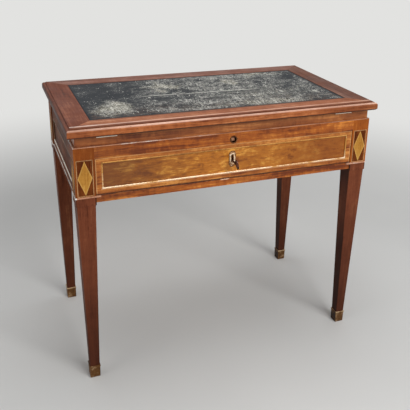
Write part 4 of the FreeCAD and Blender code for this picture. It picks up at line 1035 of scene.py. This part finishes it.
def makeLeather():
    low, high = leatherBox
    size = high - low
    middle = (low + high) / 2
    across, deep = size.x - 2 * sheet["gap"], size.y - 2 * sheet["gap"]
    mesh = bmesh.new()
    bmesh.ops.create_grid(mesh, x_segments=sheet["across"], y_segments=sheet["deep"], size=0.5)
    bmesh.ops.scale(mesh, vec=(across, deep, 1), verts=mesh.verts)
    bmesh.ops.translate(mesh, vec=(middle.x, middle.y, high.z - sheet["sink"]), verts=mesh.verts)
    for vert in mesh.verts:
        vert.co.z += leatherRise(vert.co, size)
    bmesh.ops.recalc_face_normals(mesh, faces=mesh.faces)
    if mesh.faces[:][0].normal.z < 0:
        bmesh.ops.reverse_faces(mesh, faces=mesh.faces)
    bmesh.ops.solidify(mesh, geom=mesh.faces[:], thickness=sheet["thickness"])
    for face in mesh.faces:
        face.smooth = True
    lining = meshObject("leatherLining", mesh, leatherFinish("wornLeather"))
    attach(lining, "top")
    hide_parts("top_leather")


makeLeather()
print("leather laid")

# floor, lights and camera
studio = {
    "floorTone": (214, 214, 212), "floorDark": (211, 211, 209), "floorRoughness": 0.9,
    "floorSize": 60.0, "floorLevel": -0.0006, "near": 1.0, "far": 2.6, "farTone": (226, 226, 224),
    "worldTone": (0.80, 0.81, 0.83), "worldStrength": 0.26,
    "lamps": [
        # place, target, width, height, power
        ((0.9, -3.2, 2.5), (0.0, 0.0, 0.6), 2.2, 1.6, 98.0),
        ((0.1, 0.2, 3.3), (0.0, 0.0, 0.7), 2.4, 2.0, 38.0),
        ((-2.8, -0.9, 1.8), (0.0, 0.0, 0.5), 1.6, 1.6, 9.0),
    ],
}
# metres, degrees, and millimetres for lens and sensor
cameraSetup = {
    "place": (-0.623, -1.718, 1.236), "azimuth": 21.71, "elevation": -20.45, "roll": 1.36,
    "lens": 55.62, "sensor": 36.0, "shift": (-0.040, -0.1263), "reach": 200.0,
}


# 1 for a ray from the camera, or one that metal or glass sends on
def seenDirectly(tree):
    path = add(tree, "ShaderNodeLightPath").outputs
    onward = larger(tree, path["Is Glossy Ray"], path["Is Transmission Ray"])
    return larger(tree, path["Is Camera Ray"], onward)


def floorFinish():
    finish, tree, shader, coords = newFinish("floorPaint")
    patchy = cloud(tree, coords, (2, 2, 2), 2.0)
    colour = tones(tree, patchy, [(0.3, studio["floorDark"]), (0.7, studio["floorTone"])])
    tree.links.new(colour, shader.inputs["Base Color"])
    shader.inputs["Roughness"].default_value = studio["floorRoughness"]
    # far from the table the floor looks as pale as close to it
    away = vectors(tree, "LENGTH", {0: coords})["Value"]
    pale = times(tree, fade(tree, away, studio["near"], studio["far"]), seenDirectly(tree))
    glow = add(tree, "ShaderNodeEmission", {"Color": paint(*studio["farTone"])})
    mixed = add(tree, "ShaderNodeMixShader", {0: pale, 1: shader.outputs[0], 2: glow.outputs[0]})
    output = next(node for node in tree.nodes if node.type == "OUTPUT_MATERIAL")
    tree.links.new(mixed.outputs[0], output.inputs["Surface"])
    return finish


def makeFloor():
    mesh = bmesh.new()
    bmesh.ops.create_grid(mesh, x_segments=4, y_segments=4, size=studio["floorSize"] / 2)
    bmesh.ops.translate(mesh, vec=(0, 0, studio["floorLevel"]), verts=mesh.verts)
    meshObject("floor", mesh, floorFinish())


def makeLamps():
    for index, (place, target, width, height, power) in enumerate(studio["lamps"]):
        light = bpy.data.lights.new(f"softbox{index}", "AREA")
        light.shape = "RECTANGLE"
        light.size = width
        light.size_y = height
        light.energy = power
        lamp = bpy.data.objects.new(f"softbox{index}", light)
        lamp.location = place
        lamp.rotation_euler = (Vector(target) - Vector(place)).to_track_quat("-Z", "Y").to_euler()
        scene.collection.objects.link(lamp)


def makeWorld():
    world = bpy.data.worlds.new("studio")
    world.use_nodes = True
    tree = world.node_tree
    sky = next(node for node in tree.nodes if node.type == "BACKGROUND")
    sky.inputs["Color"].default_value = (*studio["worldTone"], 1.0)
    sky.inputs["Strength"].default_value = studio["worldStrength"]
    backdrop = add(tree, "ShaderNodeBackground", {"Color": paint(*studio["farTone"])})
    seen = seenDirectly(tree)
    mixed = add(tree, "ShaderNodeMixShader", {0: seen, 1: sky.outputs[0], 2: backdrop.outputs[0]})
    output = next(node for node in tree.nodes if node.type == "OUTPUT_WORLD")
    tree.links.new(mixed.outputs[0], output.inputs["Surface"])
    scene.world = world


def makeCamera():
    turn, rise, roll = (math.radians(cameraSetup[key]) for key in ("azimuth", "elevation", "roll"))
    ahead = Vector((math.cos(rise) * math.sin(turn), math.cos(rise) * math.cos(turn), math.sin(rise)))
    right = ahead.cross(Vector((0, 0, 1))).normalized()
    up = right.cross(ahead)
    tilted = right * math.cos(roll) + up * math.sin(roll)
    upright = up * math.cos(roll) - right * math.sin(roll)
    view = bpy.data.cameras.new("photoCamera")
    view.sensor_width = cameraSetup["sensor"]
    view.lens = cameraSetup["lens"]
    view.shift_x, view.shift_y = cameraSetup["shift"]
    view.clip_end = cameraSetup["reach"]
    camera = bpy.data.objects.new("photoCamera", view)
    facing = Matrix((tilted, upright, -ahead)).transposed().to_4x4()
    camera.matrix_world = Matrix.Translation(cameraSetup["place"]) @ facing
    scene.collection.objects.link(camera)
    scene.camera = camera


makeFloor()
makeLamps()
makeWorld()
makeCamera()
print("studio set")
